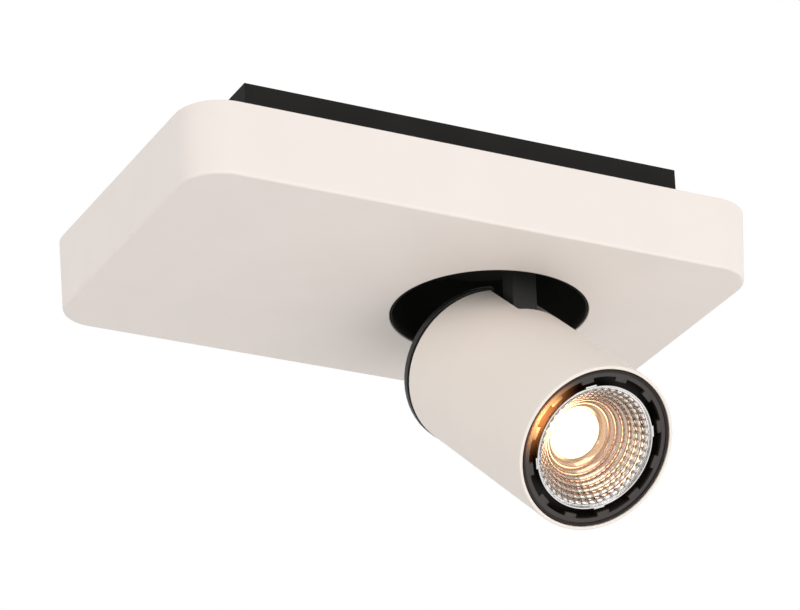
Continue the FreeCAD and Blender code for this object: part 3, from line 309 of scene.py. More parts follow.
# %% [markdown]
# ### Paints
#
# The canopy and the tube have a satin cream powder coat. The chassis has a matt black one with a
# coarser grain, the recess is a flatter black so that it reads as a dark hole, and the arm is a
# little glossier, which shows its front face against the dark. Pictures of real coats could be
# wrapped round the pieces, but noise has no seam and stays sharp from any distance.


# %% Paints
PAINT_DRIFT = 40.0
PAINT_CLOUDS = 120.0
PAINT_GLOSS = 0.06


def paint(name, colour, spread, roughness, peel_scale, peel_depth, shine=0.5):
    """A powder coat: drifting colour, wandering gloss and orange peel."""
    material = finish(name, colour, roughness)
    principled(material).inputs["Specular IOR Level"].default_value = shine
    drift(material, PAINT_DRIFT, colour, 1 - spread, 1 + spread)
    uneven_gloss(material, PAINT_CLOUDS, roughness - PAINT_GLOSS, roughness + PAINT_GLOSS)
    grain(material, peel_scale, peel_depth)
    return material


finishes = {
    "cream_paint": paint("cream_paint", (0.80, 0.738, 0.70), 0.012, 0.5, 1400.0, 0.012),
    "shell_paint": paint("shell_paint", (0.80, 0.735, 0.68), 0.012, 0.46, 1400.0, 0.012),
    "black_paint": paint("black_paint", (0.014, 0.0135, 0.013), 0.10, 0.70, 1800.0, 0.030, 0.10),
    "cup_paint": paint("cup_paint", (0.017, 0.017, 0.015), 0.10, 0.80, 1800.0, 0.030, 0.10),
    "arm_paint": paint("arm_paint", (0.028, 0.028, 0.027), 0.10, 0.48, 1500.0, 0.020),
    "cap_paint": paint("cap_paint", (0.014, 0.014, 0.014), 0.10, 0.5, 1500.0, 0.020),
}
print("paints:", sorted(finishes))

# %% [markdown]
# ### Metals
#
# Zinc plate is a pale metal with a cloudy gloss, springs are darker, screws are blackened, and the
# terminal's screws are bare brass. The heat sink is extruded, so its streaks run along the lamp.
# The streaks could be modelled, but a stretch along one axis of the noise gives them without a
# face.


# %% Metals
METAL_DRIFT = 150.0
METAL_TONES = (0.93, 1.05)
METAL_CLOUDS = 400.0
METAL_GLOSS = 0.07
STREAKS = 2500.0


def metal(name, colour, roughness, stretch=(1, 1, 1), depth=0.004):
    """A plated or bare metal: cloudy colour and gloss, and fine streaks."""
    material = finish(name, colour, roughness, metallic=1.0)
    drift(material, METAL_DRIFT, colour, *METAL_TONES)
    uneven_gloss(material, METAL_CLOUDS, roughness - METAL_GLOSS, roughness + METAL_GLOSS)
    grain(material, STREAKS, depth, stretch)
    finishes[name] = material


before = set(finishes)
metal("zinc_steel", (0.60, 0.61, 0.63), 0.35)
metal("spring_steel", (0.42, 0.42, 0.43), 0.30, stretch=(0.1, 1, 1))
metal("black_screw", (0.055, 0.053, 0.052), 0.40)
metal("brass", (0.72, 0.52, 0.24), 0.32)
metal("aluminium", (0.70, 0.70, 0.72), 0.34, stretch=(1, 1, 0.08))
print("metals:", sorted(set(finishes) - before))

# %% [markdown]
# ### Plastics and rubber
#
# Moulded plastic has a fine even grain from its tool. The front ring is a brownish black with a
# satin face, which is why it looks dark grey in the light and not black. A plain black would do
# for the hidden pieces, but one helper gives all of them a real finish for the same work.


# %% Plastics
PLASTIC_DRIFT = 90.0
PLASTIC_TONES = (0.93, 1.06)
PLASTIC_CLOUDS = 500.0
PLASTIC_GLOSS = 0.05


def plastic(name, colour, roughness, depth=0.010, scale=3000.0, shine=0.5):
    """A moulded plastic or a rubber: nearly even colour and a fine grain."""
    material = finish(name, colour, roughness)
    principled(material).inputs["Specular IOR Level"].default_value = shine
    drift(material, PLASTIC_DRIFT, colour, *PLASTIC_TONES)
    uneven_gloss(material, PLASTIC_CLOUDS, roughness - PLASTIC_GLOSS, roughness + PLASTIC_GLOSS)
    grain(material, scale, depth)
    finishes[name] = material


before = set(finishes)
plastic("ring_plastic", (0.034, 0.027, 0.024), 0.42, shine=0.3)
plastic("black_plastic", (0.012, 0.007, 0.006), 0.45, shine=0.2)
plastic("white_plastic", (0.74, 0.74, 0.72), 0.45)
plastic("white_nylon", (0.78, 0.77, 0.72), 0.40)
plastic("black_rubber", (0.020, 0.020, 0.020), 0.80, depth=0.030, scale=1500.0)
plastic("grey_pad", (0.33, 0.34, 0.38), 0.85)
plastic("board_white", (0.80, 0.80, 0.78), 0.35)
plastic("board_green", (0.03, 0.19, 0.07), 0.30)
print("plastics and rubber:", sorted(set(finishes) - before))

# %% [markdown]
# ### The reflector's coating and its painted reflection
#
# The reflector is vacuum coated plastic, so it is a near mirror whose facets do the work and whose
# surface needs only a faint haze. Its colour holds a painted warm reflection of the LED's light
# that depends on the distance from the lamp's axis: bronze at the throat, where the LED's light
# comes back many times, and neutral at the mouth. A cross product with the axis gives that
# distance, which holds however the lamp is aimed at rest.


# %% Distance from the lamp's axis
def vector_math(material, operation, a, b=None):
    """One Vector Math node; a is a socket and b a plain vector."""
    node = add(material, "ShaderNodeVectorMath")
    node.operation = operation
    material.node_tree.links.new(a, node.inputs[0])
    if b is not None:
        node.inputs[1].default_value = b
    return node


bright = finish("bright_reflector", (0.42, 0.40, 0.38), 0.05, metallic=1.0)
uneven_gloss(bright, 900.0, 0.09, 0.14)
lamp_axis = HEAD.to_3x3() @ Vector((0, 0, 1))
coordinates = add(bright, "ShaderNodeTexCoord")
from_rear = vector_math(bright, "SUBTRACT", coordinates.outputs["Object"], HEAD.translation)
sideways = vector_math(bright, "CROSS_PRODUCT", from_rear.outputs[0], lamp_axis)
off_axis = vector_math(bright, "LENGTH", sideways.outputs[0]).outputs["Value"]
print("lamp axis:", [round(v, 3) for v in lamp_axis])

# %% [markdown]
# The facets carry a number of their own, the crest, which is 1 in a facet's middle and 0 in the
# groove round it, and the grooves are painted darker as painted shade. Deeper grooves in the mesh
# could give that shade alone, but at this size they would need many more faces. A faint glow round
# the throat stands for the glare there.

# %% Painted reflection, painted groove shade and glare
THROAT_R = 9.8
MOUTH_R = 22.35
# painted warm reflection of the LED's light, set by the distance from the lamp's axis
PAINTED_REFLECTION_TO = 22.8
PAINTED_REFLECTION_STOPS = ((0.0, (0.48, 0.27, 0.16)), (0.45, (0.47, 0.34, 0.265)), (0.75, (0.46, 0.375, 0.31)),
              (0.95, (0.46, 0.43, 0.41)), (0.97, (0.37, 0.36, 0.35)))
JUST_PAST = 0.01
# painted shade in the grooves between the facets
PAINTED_GROOVE_SHADE_ENDS = 0.45
PAINTED_GROOVE_SHADE_LEVEL = 0.14
FLARE_COLOUR = (0.80, 0.56, 0.32)
FLARE_REACH = 0.40
FLARE_LEVEL = 0.35

# painted warm reflection: bronze near the throat, neutral at the mouth
span = mapped(bright, off_axis, old=(THROAT_R * MM, PAINTED_REFLECTION_TO * MM))
painted_reflection = colour_ramp(bright, span, PAINTED_REFLECTION_STOPS)
crest = add(bright, "ShaderNodeAttribute")
crest.attribute_name = "crest"
# painted shade: the colour is darkened in the grooves round each facet
painted_groove_shade = mapped(bright, crest.outputs["Fac"], old=(0.0, PAINTED_GROOVE_SHADE_ENDS), new=(PAINTED_GROOVE_SHADE_LEVEL, 1.0))
past_bowl = number(bright.node_tree, "GREATER_THAN", off_axis, (MOUTH_R + JUST_PAST) * MM)
painted_groove_shade_factor = number(bright.node_tree, "MAXIMUM", painted_groove_shade, past_bowl)
shade = vector_math(bright, "SCALE", painted_reflection.outputs["Color"])
flare = colour_ramp(bright, span, ((0.0, FLARE_COLOUR), (FLARE_REACH, (0, 0, 0))))
flare.color_ramp.interpolation = "EASE"
link = bright.node_tree.links.new
link(painted_groove_shade_factor, shade.inputs["Scale"])
link(shade.outputs[0], principled(bright).inputs["Base Color"])
link(flare.outputs["Color"], principled(bright).inputs["Emission Color"])
principled(bright).inputs["Emission Strength"].default_value = FLARE_LEVEL
finishes["bright_reflector"] = bright
print("reflector:", len(bright.node_tree.nodes), "nodes")

# %% [markdown]
# ### The lens and the lit LED
#
# The lens is clear glass with a coating against reflections. Thin film could be worked out, but a
# low index does the same here: it keeps the sky off the glass. The lit LED is the one thing that
# really glows: a white middle that turns to warm amber at its edge, worked out from the distance
# to its centre.

# %% Lens and LED
LENS_INDEX = 1.22
LED_LEVEL = 9.0
LED_WHITE_R = 7.0

clear = finish("clear_lens", (1.0, 1.0, 1.0), 0.0)
principled(clear).inputs["Transmission Weight"].default_value = 1.0
principled(clear).inputs["IOR"].default_value = LENS_INDEX
uneven_gloss(clear, 200.0, 0.0, 0.03)
finishes["clear_lens"] = clear

glow = finish("led_glow", (1.0, 0.86, 0.62), 0.5)
led_low, led_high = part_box("led_emitter")
coordinates = add(glow, "ShaderNodeTexCoord")
centred = vector_math(glow, "DISTANCE", coordinates.outputs["Object"], (led_low + led_high) / 2)
span = mapped(glow, centred.outputs["Value"], old=(LED_WHITE_R * MM, THROAT_R * MM))
warmth = colour_ramp(glow, span, ((0.0, (1.0, 0.66, 0.42)), (1.0, (0.24, 0.14, 0.07))))
glow.node_tree.links.new(warmth.outputs["Color"], principled(glow).inputs["Emission Color"])
principled(glow).inputs["Emission Strength"].default_value = LED_LEVEL
finishes["led_glow"] = glow
print("all finishes:", len(finishes))

# %% [markdown]
# ## Dressing the solids
#
# The record says which finish each solid takes. All of them could be made again here, but most are
# out of sight, so every solid whose shape is already right only gets that finish, through its
# material slots. The pieces in plain view are made again further down with the soft edges and the
# small forms that light picks out, and then stand for their solids.

# %% Finishes on the solids
slot_of = {part["node"]: part["material_slot"] for part in frame["record"]["subparts"]}
for node, solid in frame["nodes"].items():
    for holder in solid.material_slots:
        holder.material = finishes[slot_of[node]]
print("dressed", len(frame["nodes"]), "solids")

# %% [markdown]
# ## Tools for making pieces
#
# Most of this lamp is lofted: a row of outlines with the same number of points, joined by quads. A
# turned part is the same thing with circles. Screw or Spin could turn a part too, but a loft also
# takes the canopy's outline and the hole in it. A corner is rounded in the section itself, with a
# point close on each side of the round, so the flat faces beside it stay flat in the light.


# %% Loft and turn
def loft(rings, name):
    """A closed skin through rings of points; the last ring joins the first."""
    count = len(rings[0])
    points = [p for ring in rings for p in ring]
    faces = []
    for i in range(len(rings)):
        low = i * count
        high = (i + 1) % len(rings) * count
        for j in range(count):
            k = (j + 1) % count
            faces.append((low + j, low + k, high + k, high + j))
    mesh = bpy.data.meshes.new(name)
    mesh.from_pydata(points, [], faces)
    return mesh


def turned(profile, name, count):
    """A ring-shaped turned part from (radius, z) pairs that go round its section."""
    angles = [2 * math.pi * i / count for i in range(count)]
    rings = [[Vector((r * math.cos(a), r * math.sin(a), z)) for a in angles] for r, z in profile]
    return loft(rings, name)


print("loft ready")

# %% Rounded sections
FILLET_STEPS = 5
SUPPORT = 1.15


def towards(corner, other, distance):
    """The point at a distance from a corner, on the way to another."""
    return Vector(corner) + (Vector(other) - Vector(corner)).normalized() * distance


def fillet(corner, before, after, radius):
    """Points of a round in place of a corner."""
    start = towards(corner, before, radius)
    end = towards(corner, after, radius)
    arc = []
    for i in range(FILLET_STEPS + 1):
        t = i / FILLET_STEPS
        arc.append((1 - t) ** 2 * start + 2 * t * (1 - t) * Vector(corner) + t ** 2 * end)
    return [tuple(p) for p in arc]


def soft_section(corners, radii):
    """A closed section whose corners are rounded, with a support point each side of a round."""
    section = []
    for i, (corner, radius) in enumerate(zip(corners, radii)):
        if radius == 0:
            section.append(corner)
            continue
        before = corners[i - 1]
        after = corners[(i + 1) % len(corners)]
        lead = towards(corner, before, radius * SUPPORT)
        trail = towards(corner, after, radius * SUPPORT)
        section += [tuple(lead)] + fillet(corner, before, after, radius) + [tuple(trail)]
    return section


print("rounds ready")

# %% [markdown]
# A finished piece has its place in its mesh, rides on its body and stands for its solid. One
# function does that for all of them. Where a solid is right already, a copy of it is softened
# instead of made again: its loose triangles are merged, the flat faces' inner edges go, and the
# rest is bevelled.


# %% Place and tie
SAME_POINT = 1e-4


def linked(name, mesh):
    """A new object in the scene."""
    obj = bpy.data.objects.new(name, mesh)
    scene.collection.objects.link(obj)
    return obj


def tied(obj, body, node):
    """Gives a piece its solid's finish, ties it to its body and lets it stand for the solid."""
    obj.data.materials.clear()
    obj.data.materials.append(finishes[slot_of[node]])
    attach(obj, body)
    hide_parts(node)
    print(obj.name, len(obj.data.vertices), "points, stands for", node)
    return obj


def outward(mesh):
    """Merges doubles and turns every face outwards; the mesh is in millimetres."""
    work = bmesh.new()
    work.from_mesh(mesh)
    bmesh.ops.remove_doubles(work, verts=work.verts, dist=SAME_POINT)
    bmesh.ops.recalc_face_normals(work, faces=work.faces)
    work.to_mesh(mesh)
    work.free()


def piece(name, mesh, place, body, node, sharp=40.0):
    """Puts a mesh drawn in millimetres in its place, finished and tied to its body."""
    outward(mesh)
    mesh.transform(place @ Matrix.Scale(MM, 4))
    mesh.shade_smooth()
    mesh.set_sharp_from_angle(angle=math.radians(sharp))
    return tied(linked(name, mesh), body, node)


print("placing ready")


# %% Bake modifiers and cut
def settled(obj):
    """The object's mesh with its modifiers applied; the modifiers are then removed."""
    bpy.context.view_layer.update()
    evaluated = obj.evaluated_get(bpy.context.evaluated_depsgraph_get())
    mesh = bpy.data.meshes.new_from_object(evaluated)
    obj.modifiers.clear()
    return mesh


def carved(mesh, cutters):
    """The mesh with each cutter's mesh taken out of it."""
    drafts = [linked("draft", mesh)]
    for cutter in cutters:
        drafts.append(linked("cutter", cutter))
        cut = drafts[0].modifiers.new("cut", "BOOLEAN")
        cut.operation = "DIFFERENCE"
        cut.solver = "EXACT"
        cut.object = drafts[-1]
    made = settled(drafts[0])
    for draft in drafts:
        bpy.data.objects.remove(draft)
    return made


print("cutting ready")

# %% Soften a solid
SAME_CORNER = 0.002
FLAT_ANGLE = math.radians(4)
EDGE_ANGLE = math.radians(32)
SHARP_ANGLE = math.radians(30)
WIDE_FACE = 300.0


def softened(node, width, body):
    """A copy of a solid whose edges are rounded over by width millimetres; wide faces stay flat."""
    copy = frame["nodes"][node].data.copy()
    work = bmesh.new()
    work.from_mesh(copy)
    bmesh.ops.remove_doubles(work, verts=work.verts, dist=SAME_CORNER * MM)
    bmesh.ops.dissolve_limit(work, angle_limit=FLAT_ANGLE, verts=work.verts, edges=work.edges)
    work.to_mesh(copy)
    work.free()
    obj = linked(node + "_soft", copy)
    bevel = obj.modifiers.new("soft_edges", "BEVEL")
    bevel.width = width * MM
    bevel.segments = 2
    bevel.limit_method = "ANGLE"
    bevel.angle_limit = EDGE_ANGLE
    mesh = settled(obj)
    mesh.shade_smooth()
    mesh.set_sharp_from_angle(angle=SHARP_ANGLE)
    for face in mesh.polygons:
        if len(face.vertices) > 4 or face.area > WIDE_FACE * MM * MM:
            face.use_smooth = False
    obj.data = mesh
    return tied(obj, body, node)


print("softening ready")

# %% [markdown]
# ## The canopy
#
# The canopy is a pressed tray with rounded corners and walls that lean out a little towards the
# ceiling. Its round hole isn't in the middle. A bevelled box with a Boolean hole would do, but the
# cut leaves long thin faces that shade badly. So it is lofted in one go: each point of the hole's
# circle pairs with the point of the outline that lies in the same direction from the hole, and the
# bottom face is one fan of long quads. Extra rings close to each round keep the big faces flat.

# %% Canopy outline
CANOPY = (230.0, 139.0)
CORNER_R = 16.0
DRAFT = 1.4
BOTTOM = -45.8
RIM = -17.3
SHEET = 1.5
HOLE_R = 38.0
CORNER_STEPS = 16
LONG_STEPS = 88
SHORT_STEPS = 44


def canopy_outline(grow, z):
    """The canopy's outline, grown all round, as points that always pair up."""
    half_x = CANOPY[0] / 2 - CORNER_R
    half_y = CANOPY[1] / 2 - CORNER_R
    radius = CORNER_R + grow
    centres = [(half_x, half_y), (-half_x, half_y), (-half_x, -half_y), (half_x, -half_y)]
    quarter = math.pi / 2
    points = []
    for side, (x, y) in enumerate(centres):
        arc = [side * quarter + quarter * i / CORNER_STEPS for i in range(CORNER_STEPS + 1)]
        points += [Vector((x + radius * math.cos(a), y + radius * math.sin(a), z)) for a in arc]
        x, y = centres[(side + 1) % 4]
        end = Vector((x + radius * math.cos(arc[-1]), y + radius * math.sin(arc[-1]), z))
        steps = SHORT_STEPS if side % 2 else LONG_STEPS
        points += [points[-1].lerp(end, i / steps) for i in range(1, steps)]
    return points


directions = [math.atan2(p.y, p.x - HOLE_X) for p in canopy_outline(0.0, 0.0)]


def hole_ring(radius, z):
    """A circle round the hole's middle, with a point for each point of the outline."""
    return [Vector((HOLE_X + radius * math.cos(a), radius * math.sin(a), z)) for a in directions]


print("points round the canopy:", len(directions))

# %% Canopy skin
EDGE_R = 1.2
RIM_R = 0.35
FOLD_R = 0.6
HOLE_ROUND = 0.4
HOLE_STEPS = 4
SUPPORT_UP = 0.05
SUPPORT_OUT = 0.06
FAR_IN = -60.0
wall_grow = DRAFT / (RIM - BOTTOM)
inside = BOTTOM + SHEET
section = [((0.0, BOTTOM), EDGE_R), ((DRAFT, RIM), RIM_R), ((DRAFT - SHEET, RIM), RIM_R),
           ((wall_grow * SHEET - SHEET, inside), FOLD_R)]
corners = [(FAR_IN, BOTTOM)] + [corner for corner, _ in section] + [(FAR_IN, inside)]
rounds = soft_section(corners, [0] + [radius for _, radius in section] + [0])[1:-1]
rings = [hole_ring(HOLE_R, inside), hole_ring(HOLE_R, BOTTOM + HOLE_ROUND + SUPPORT_UP)]
for step in range(HOLE_STEPS + 1):
    turn_in = math.pi / 2 * step / HOLE_STEPS
    rings.append(hole_ring(HOLE_R + HOLE_ROUND * (1 - math.cos(turn_in)),
                           BOTTOM + HOLE_ROUND * (1 - math.sin(turn_in))))
rings.append(hole_ring(HOLE_R + HOLE_ROUND + SUPPORT_OUT, BOTTOM))
rings += [canopy_outline(grow, z) for grow, z in rounds]
piece("canopy_skin", loft(rings, "canopy_skin"), Matrix.Identity(4), "housing", "canopy")

# %% [markdown]
# ## The lamp's tube
#
# The tube is turned, with a softly rounded front rim that catches a bright line of light. A slot
# at the rear lets the arm in. It is cut with a Boolean, which is the plain way to take a block
# with rounded corners out of a round wall.

# %% Tube
SHELL_R = 31.5
SHELL_WALL = 1.3
SLOT_WIDTH = 18.8
SLOT_LENGTH = 23.1
SLOT_ROUND = 1.0
PAST_REAR = 5.0
PAST_WALL = 2.0
TUBE_COUNT = 192
inner_r = SHELL_R - SHELL_WALL
tube_corners = [(SHELL_R, 0.0), (SHELL_R, SHELL_LENGTH), (inner_r, SHELL_LENGTH), (inner_r, 0.0)]
tube_section = soft_section(tube_corners, [0.35, 0.6, 0.45, 0.35])
tube_mesh = turned(tube_section, "lamp_tube", TUBE_COUNT)
outward(tube_mesh)

work = bmesh.new()
bmesh.ops.create_cube(work, size=1.0)
for vert in work.verts:
    vert.co = Vector((vert.co.x * SLOT_WIDTH, (vert.co.y + 0.5) * (SHELL_R + PAST_WALL),
                      (SLOT_LENGTH - PAST_REAR) / 2 + vert.co.z * (SLOT_LENGTH + PAST_REAR)))
front_edges = [e for e in work.edges if all(v.co.z > SLOT_LENGTH - 1 for v in e.verts)
               and abs(e.verts[0].co.x - e.verts[1].co.x) < 1e-3]
bmesh.ops.bevel(work, geom=front_edges, offset=SLOT_ROUND, segments=4, affect="EDGES", profile=0.5)
slot_block = bpy.data.meshes.new("slot_block")
work.to_mesh(slot_block)
work.free()
piece("lamp_tube", carved(tube_mesh, [slot_block]), HEAD, "head", "lamp_shell", sharp=35.0)

# %% [markdown]
# ## Softened solids
#
# The chassis is folded from sheet, the arm is a filed bar and the rear cap is turned. Their shapes
# are right already, and what the solids lack is the small radius on each edge that makes an edge
# show as a fine line of light. They could be drawn again with it, but a softened copy can't stray
# from the solid.

# %% Soft edges
softened("chassis", 0.35, "housing")
softened("arm", 0.5, "swivel")
softened("rear_cap", 0.3, "head")
softened("recess_cup", 0.3, "housing")
softened("turntable", 0.25, "swivel")

# %% [markdown]
# ## Repeating things round the lamp's axis
#
# Teeth, lugs and screws stand in a circle. An Array modifier could turn copies round an empty, but
# one Geometry Nodes tree does it for all of them with the sizes as inputs: it puts the thing it is
# given on the points of a circle and turns each copy to face outwards. The copies are made real
# and given their material in the tree, then kept as a plain mesh.


# %% Start and end of a tree
def new_tree(name, inputs):
    """An empty Geometry Nodes tree with named inputs, and the nodes where it starts and ends."""
    tree = bpy.data.node_groups.new(name, "GeometryNodeTree")
    tree.interface.new_socket("Geometry", in_out="INPUT", socket_type="NodeSocketGeometry")
    for label, kind, value in inputs:
        socket = tree.interface.new_socket(label, in_out="INPUT", socket_type="NodeSocket" + kind)
        if value is not None:
            socket.default_value = value
    tree.interface.new_socket("Geometry", in_out="OUTPUT", socket_type="NodeSocketGeometry")
    return tree, tree.nodes.new("NodeGroupInput"), tree.nodes.new("NodeGroupOutput")


def end_tree(tree, geometry, given, result):
    """The end of every tree here: the copies are made real and take their material."""
    real = tree.nodes.new("GeometryNodeRealizeInstances")
    coat = tree.nodes.new("GeometryNodeSetMaterial")
    tree.links.new(geometry, real.inputs["Geometry"])
    tree.links.new(real.outputs["Geometry"], coat.inputs["Geometry"])
    tree.links.new(given.outputs["Material"], coat.inputs["Material"])
    tree.links.new(coat.outputs["Geometry"], result.inputs["Geometry"])
    print("tree", tree.name, "has", len(tree.nodes), "nodes")


print("trees can be made")

# %% The tree for things in a circle
ring_tree, given, result = new_tree("round_the_axis", [
    ("Count", "Int", 12), ("Radius", "Float", 10.0), ("First Angle", "Float", 0.0),
    ("Material", "Material", None)])
join = ring_tree.links.new
points = ring_tree.nodes.new("GeometryNodeMeshCircle")
join(given.outputs["Count"], points.inputs["Vertices"])
join(given.outputs["Radius"], points.inputs["Radius"])
where = ring_tree.nodes.new("GeometryNodeInputPosition")
facing = ring_tree.nodes.new("FunctionNodeAlignRotationToVector")
facing.axis = "X"
join(where.outputs[0], facing.inputs["Vector"])
copies = ring_tree.nodes.new("GeometryNodeInstanceOnPoints")
join(points.outputs["Mesh"], copies.inputs["Points"])
join(given.outputs["Geometry"], copies.inputs["Instance"])
join(facing.outputs["Rotation"], copies.inputs["Rotation"])
spin = ring_tree.nodes.new("ShaderNodeCombineXYZ")
join(given.outputs["First Angle"], spin.inputs["Z"])
swing = ring_tree.nodes.new("GeometryNodeTransform")
join(copies.outputs["Instances"], swing.inputs["Geometry"])
join(spin.outputs[0], swing.inputs["Rotation"])
end_tree(ring_tree, swing.outputs["Geometry"], given, result)


# %% Run a tree on a mesh
def grown(tree, mesh, values):
    """The mesh that a tree makes of mesh, its inputs set by their identifiers."""
    obj = linked("draft", mesh)
    modifier = obj.modifiers.new(tree.name, "NODES")
    modifier.node_group = tree
    for item in tree.interface.items_tree:
        if item.in_out == "INPUT" and item.name in values:
            modifier[item.identifier] = values[item.name]
    made = settled(obj)
    bpy.data.objects.remove(obj)
    return made


def in_a_circle(mesh, count, radius, node, first=0.0):
    """So many copies of a mesh round the axis, with the finish of a node."""
    values = {"Count": count, "Radius": float(radius), "First Angle": float(first),
              "Material": finishes[slot_of[node]]}
    return grown(ring_tree, mesh, values)


print("ready to run trees")

# %% [markdown]
# ## The toothed front ring
#
# A black ring closes the gap between the tube and the reflector. Its face is flat, a darker rim
# stands up round the outside, and twelve short teeth point inwards round the inner edge. Ring and
# rim are turned, the tooth is a small block with soft edges, and the tree sets twelve of them
# round it. The teeth could be cut out of a wider ring, but twelve Booleans are slower and leave
# rough corners. The rim is a piece of its own, because it takes another finish: a darker black
# than the ring, which is partly painted shade of the gap round the ring.

# %% Ring sizes
RING_R = 29.9
RING_INNER_R = 27.2
RING_FRONT = 88.6
RING_FACE = 1.5
RIM_WIDTH = 1.0
RIM_RISE = 0.5
CARRIER_TOP = 80.0
SKIRT_R = 28.4
RING_COUNT = 192
print("ring face from", RING_INNER_R, "to", RING_R - RIM_WIDTH, "mm")

# %% Ring and rim
face_back = RING_FRONT - RING_FACE
rim_inner_r = RING_R - RIM_WIDTH
ring_corners = [(SKIRT_R, CARRIER_TOP), (RING_R, CARRIER_TOP), (RING_R, face_back),
                (rim_inner_r, face_back), (rim_inner_r, RING_FRONT), (RING_INNER_R, RING_FRONT),
                (RING_INNER_R, face_back), (SKIRT_R, face_back)]
ring_mesh = turned(soft_section(ring_corners, [0, 0, 0, 0, 0, 0.2, 0.15, 0]), "ring", RING_COUNT)
rim_front = RING_FRONT + RIM_RISE
rim_corners = [(RING_R, face_back), (RING_R, rim_front), (rim_inner_r, rim_front),
               (rim_inner_r, face_back)]
rim_mesh = turned(soft_section(rim_corners, [0, 0.3, 0.2, 0]), "ring_rim", RING_COUNT)
rim = piece("ring_rim", rim_mesh, HEAD, "head", "front_ring", sharp=30.0)
# the rim's darker black is partly painted shade of the gap round the ring
rim.data.materials[0] = finishes["black_plastic"]


# %% Soft blocks and joined meshes
def soft_block(size, centre, soft, segments=2):
    """A block with rounded edges, in millimetres."""
    work = bmesh.new()
    bmesh.ops.create_cube(work, size=1.0)
    for vert in work.verts:
        vert.co = Vector(c + v * s for c, v, s in zip(centre, vert.co, size))
    bmesh.ops.bevel(work, geom=list(work.edges), offset=soft, segments=segments, affect="EDGES",
                    profile=0.5)
    mesh = bpy.data.meshes.new("soft_block")
    work.to_mesh(mesh)
    work.free()
    return mesh


def merged(meshes, name):
    """One mesh made of several."""
    work = bmesh.new()
    for mesh in meshes:
        work.from_mesh(mesh)
    mesh = bpy.data.meshes.new(name)
    work.to_mesh(mesh)
    work.free()
    return mesh


print("blocks ready")

# %% Teeth
TOOTH_R = 25.6
TOOTH_COUNT = 12
TOOTH_ANGLE = math.radians(10.5)
TOOTH_ROOT = 0.5
TOOTH_SET_BACK = 0.02
TOOTH_SOFT = 0.18
tooth_reach = RING_INNER_R - TOOTH_R + TOOTH_ROOT
tooth_width = 2 * math.tan(TOOTH_ANGLE / 2) * (TOOTH_R + tooth_reach / 2)
tooth = soft_block((tooth_reach, tooth_width, RING_FACE - TOOTH_SET_BACK),
                   (tooth_reach / 2, 0, RING_FRONT - RING_FACE / 2), TOOTH_SOFT)
teeth = in_a_circle(tooth, TOOTH_COUNT, TOOTH_R, "front_ring")
ring = piece("toothed_ring", merged([ring_mesh, teeth], "toothed_ring"), HEAD, "head", "front_ring",
             sharp=30.0)

# %% [markdown]
# ## Warm light on the ring
#
# The lit lamp throws a little orange light on the part of the ring next to its glare. Two tiny
# spot lamps in the same place do that, a weak one for the ring and its rim and a stronger one for
# the cup that shows in the gaps between the teeth. They ride on the lamp head and their cone
# leaves out the ring's far side. They cast no shadow, so their light reaches into the gaps, and
# light linking keeps it off the pale tube. The glow could also be painted in the material, but
# then it would stay when the lamp is off.

# %% Warm spot lamps
SPILL_R = 20.0
SPILL_Z = 95.6
SPILL_ANGLE = math.radians(166)
SPILL_AIM_R = 28.0
SPILL_CONE = math.radians(150)
SPILL_SIZE = 2.0
SPILL_COLOUR = (1.0, 0.56, 0.20)
outwards = Vector((math.cos(SPILL_ANGLE), math.sin(SPILL_ANGLE), 0))
spill_spot = HEAD @ ((outwards * SPILL_R + Vector((0, 0, SPILL_Z))) * MM)
spill_aim = HEAD @ ((outwards * SPILL_AIM_R + Vector((0, 0, RING_FRONT))) * MM)
spill_turn = (spill_aim - spill_spot).to_track_quat("-Z", "Y").to_matrix().to_4x4()


def warm_spot(name, watts, receivers):
    """A small warm spot on the lamp head that lights nothing but its receivers."""
    data = bpy.data.lights.new(name, "SPOT")
    data.spot_size = SPILL_CONE
    data.spot_blend = 1.0
    data.energy = watts
    data.use_shadow = False
    data.color = SPILL_COLOUR
    data.shadow_soft_size = SPILL_SIZE * MM
    lamp = bpy.data.objects.new(name, data)
    lamp.matrix_world = Matrix.Translation(spill_spot) @ spill_turn
    lamp.visible_glossy = False
    scene.collection.objects.link(lamp)
    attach(lamp, "head")
    lit = bpy.data.collections.new("lit_by_" + name)
    for receiver in receivers:
        lit.objects.link(receiver)
    lamp.light_linking.receiver_collection = lit


warm_spot("ring_spill", 0.34, (ring, rim))
warm_spot("gap_spill", 1.3, (frame["nodes"]["optic_carrier"],))

# %% [markdown]
# ## The faceted reflector
#
# The bowl is made of seven rings of small pillow-shaped facets, which spread the light evenly.
# They could be painted on as a bump, but then the bowl's edge would be smooth.
# This shape follows a rule, so a tree makes it from a flat grid: one side of the grid turns round
# the axis, the other climbs from throat to mouth. Each ring swells a little towards the axis, and
# each facet in it a little more the nearer it is to the mouth, so the rings look smooth by the LED
# and break up into facets further out. The grid's two ends meet and are merged. A flat ledge round
# the mouth carries the lens, and four small lugs outside it lock the bowl in its holder.

# %% Reflector sizes
FOOT = 73.1
WALL_R = 23.7
BOWL_HEIGHT = 14.2
BOWL_CURVE = 0.86
BOWL_WALL = 1.0
BOWL_RINGS = 7
FACETS = 45
FACET_STEPS = 6
RING_STEPS = 5
RING_SWELL = 0.23
FACET_SWELL = 0.30
print("facets:", BOWL_RINGS * FACETS)


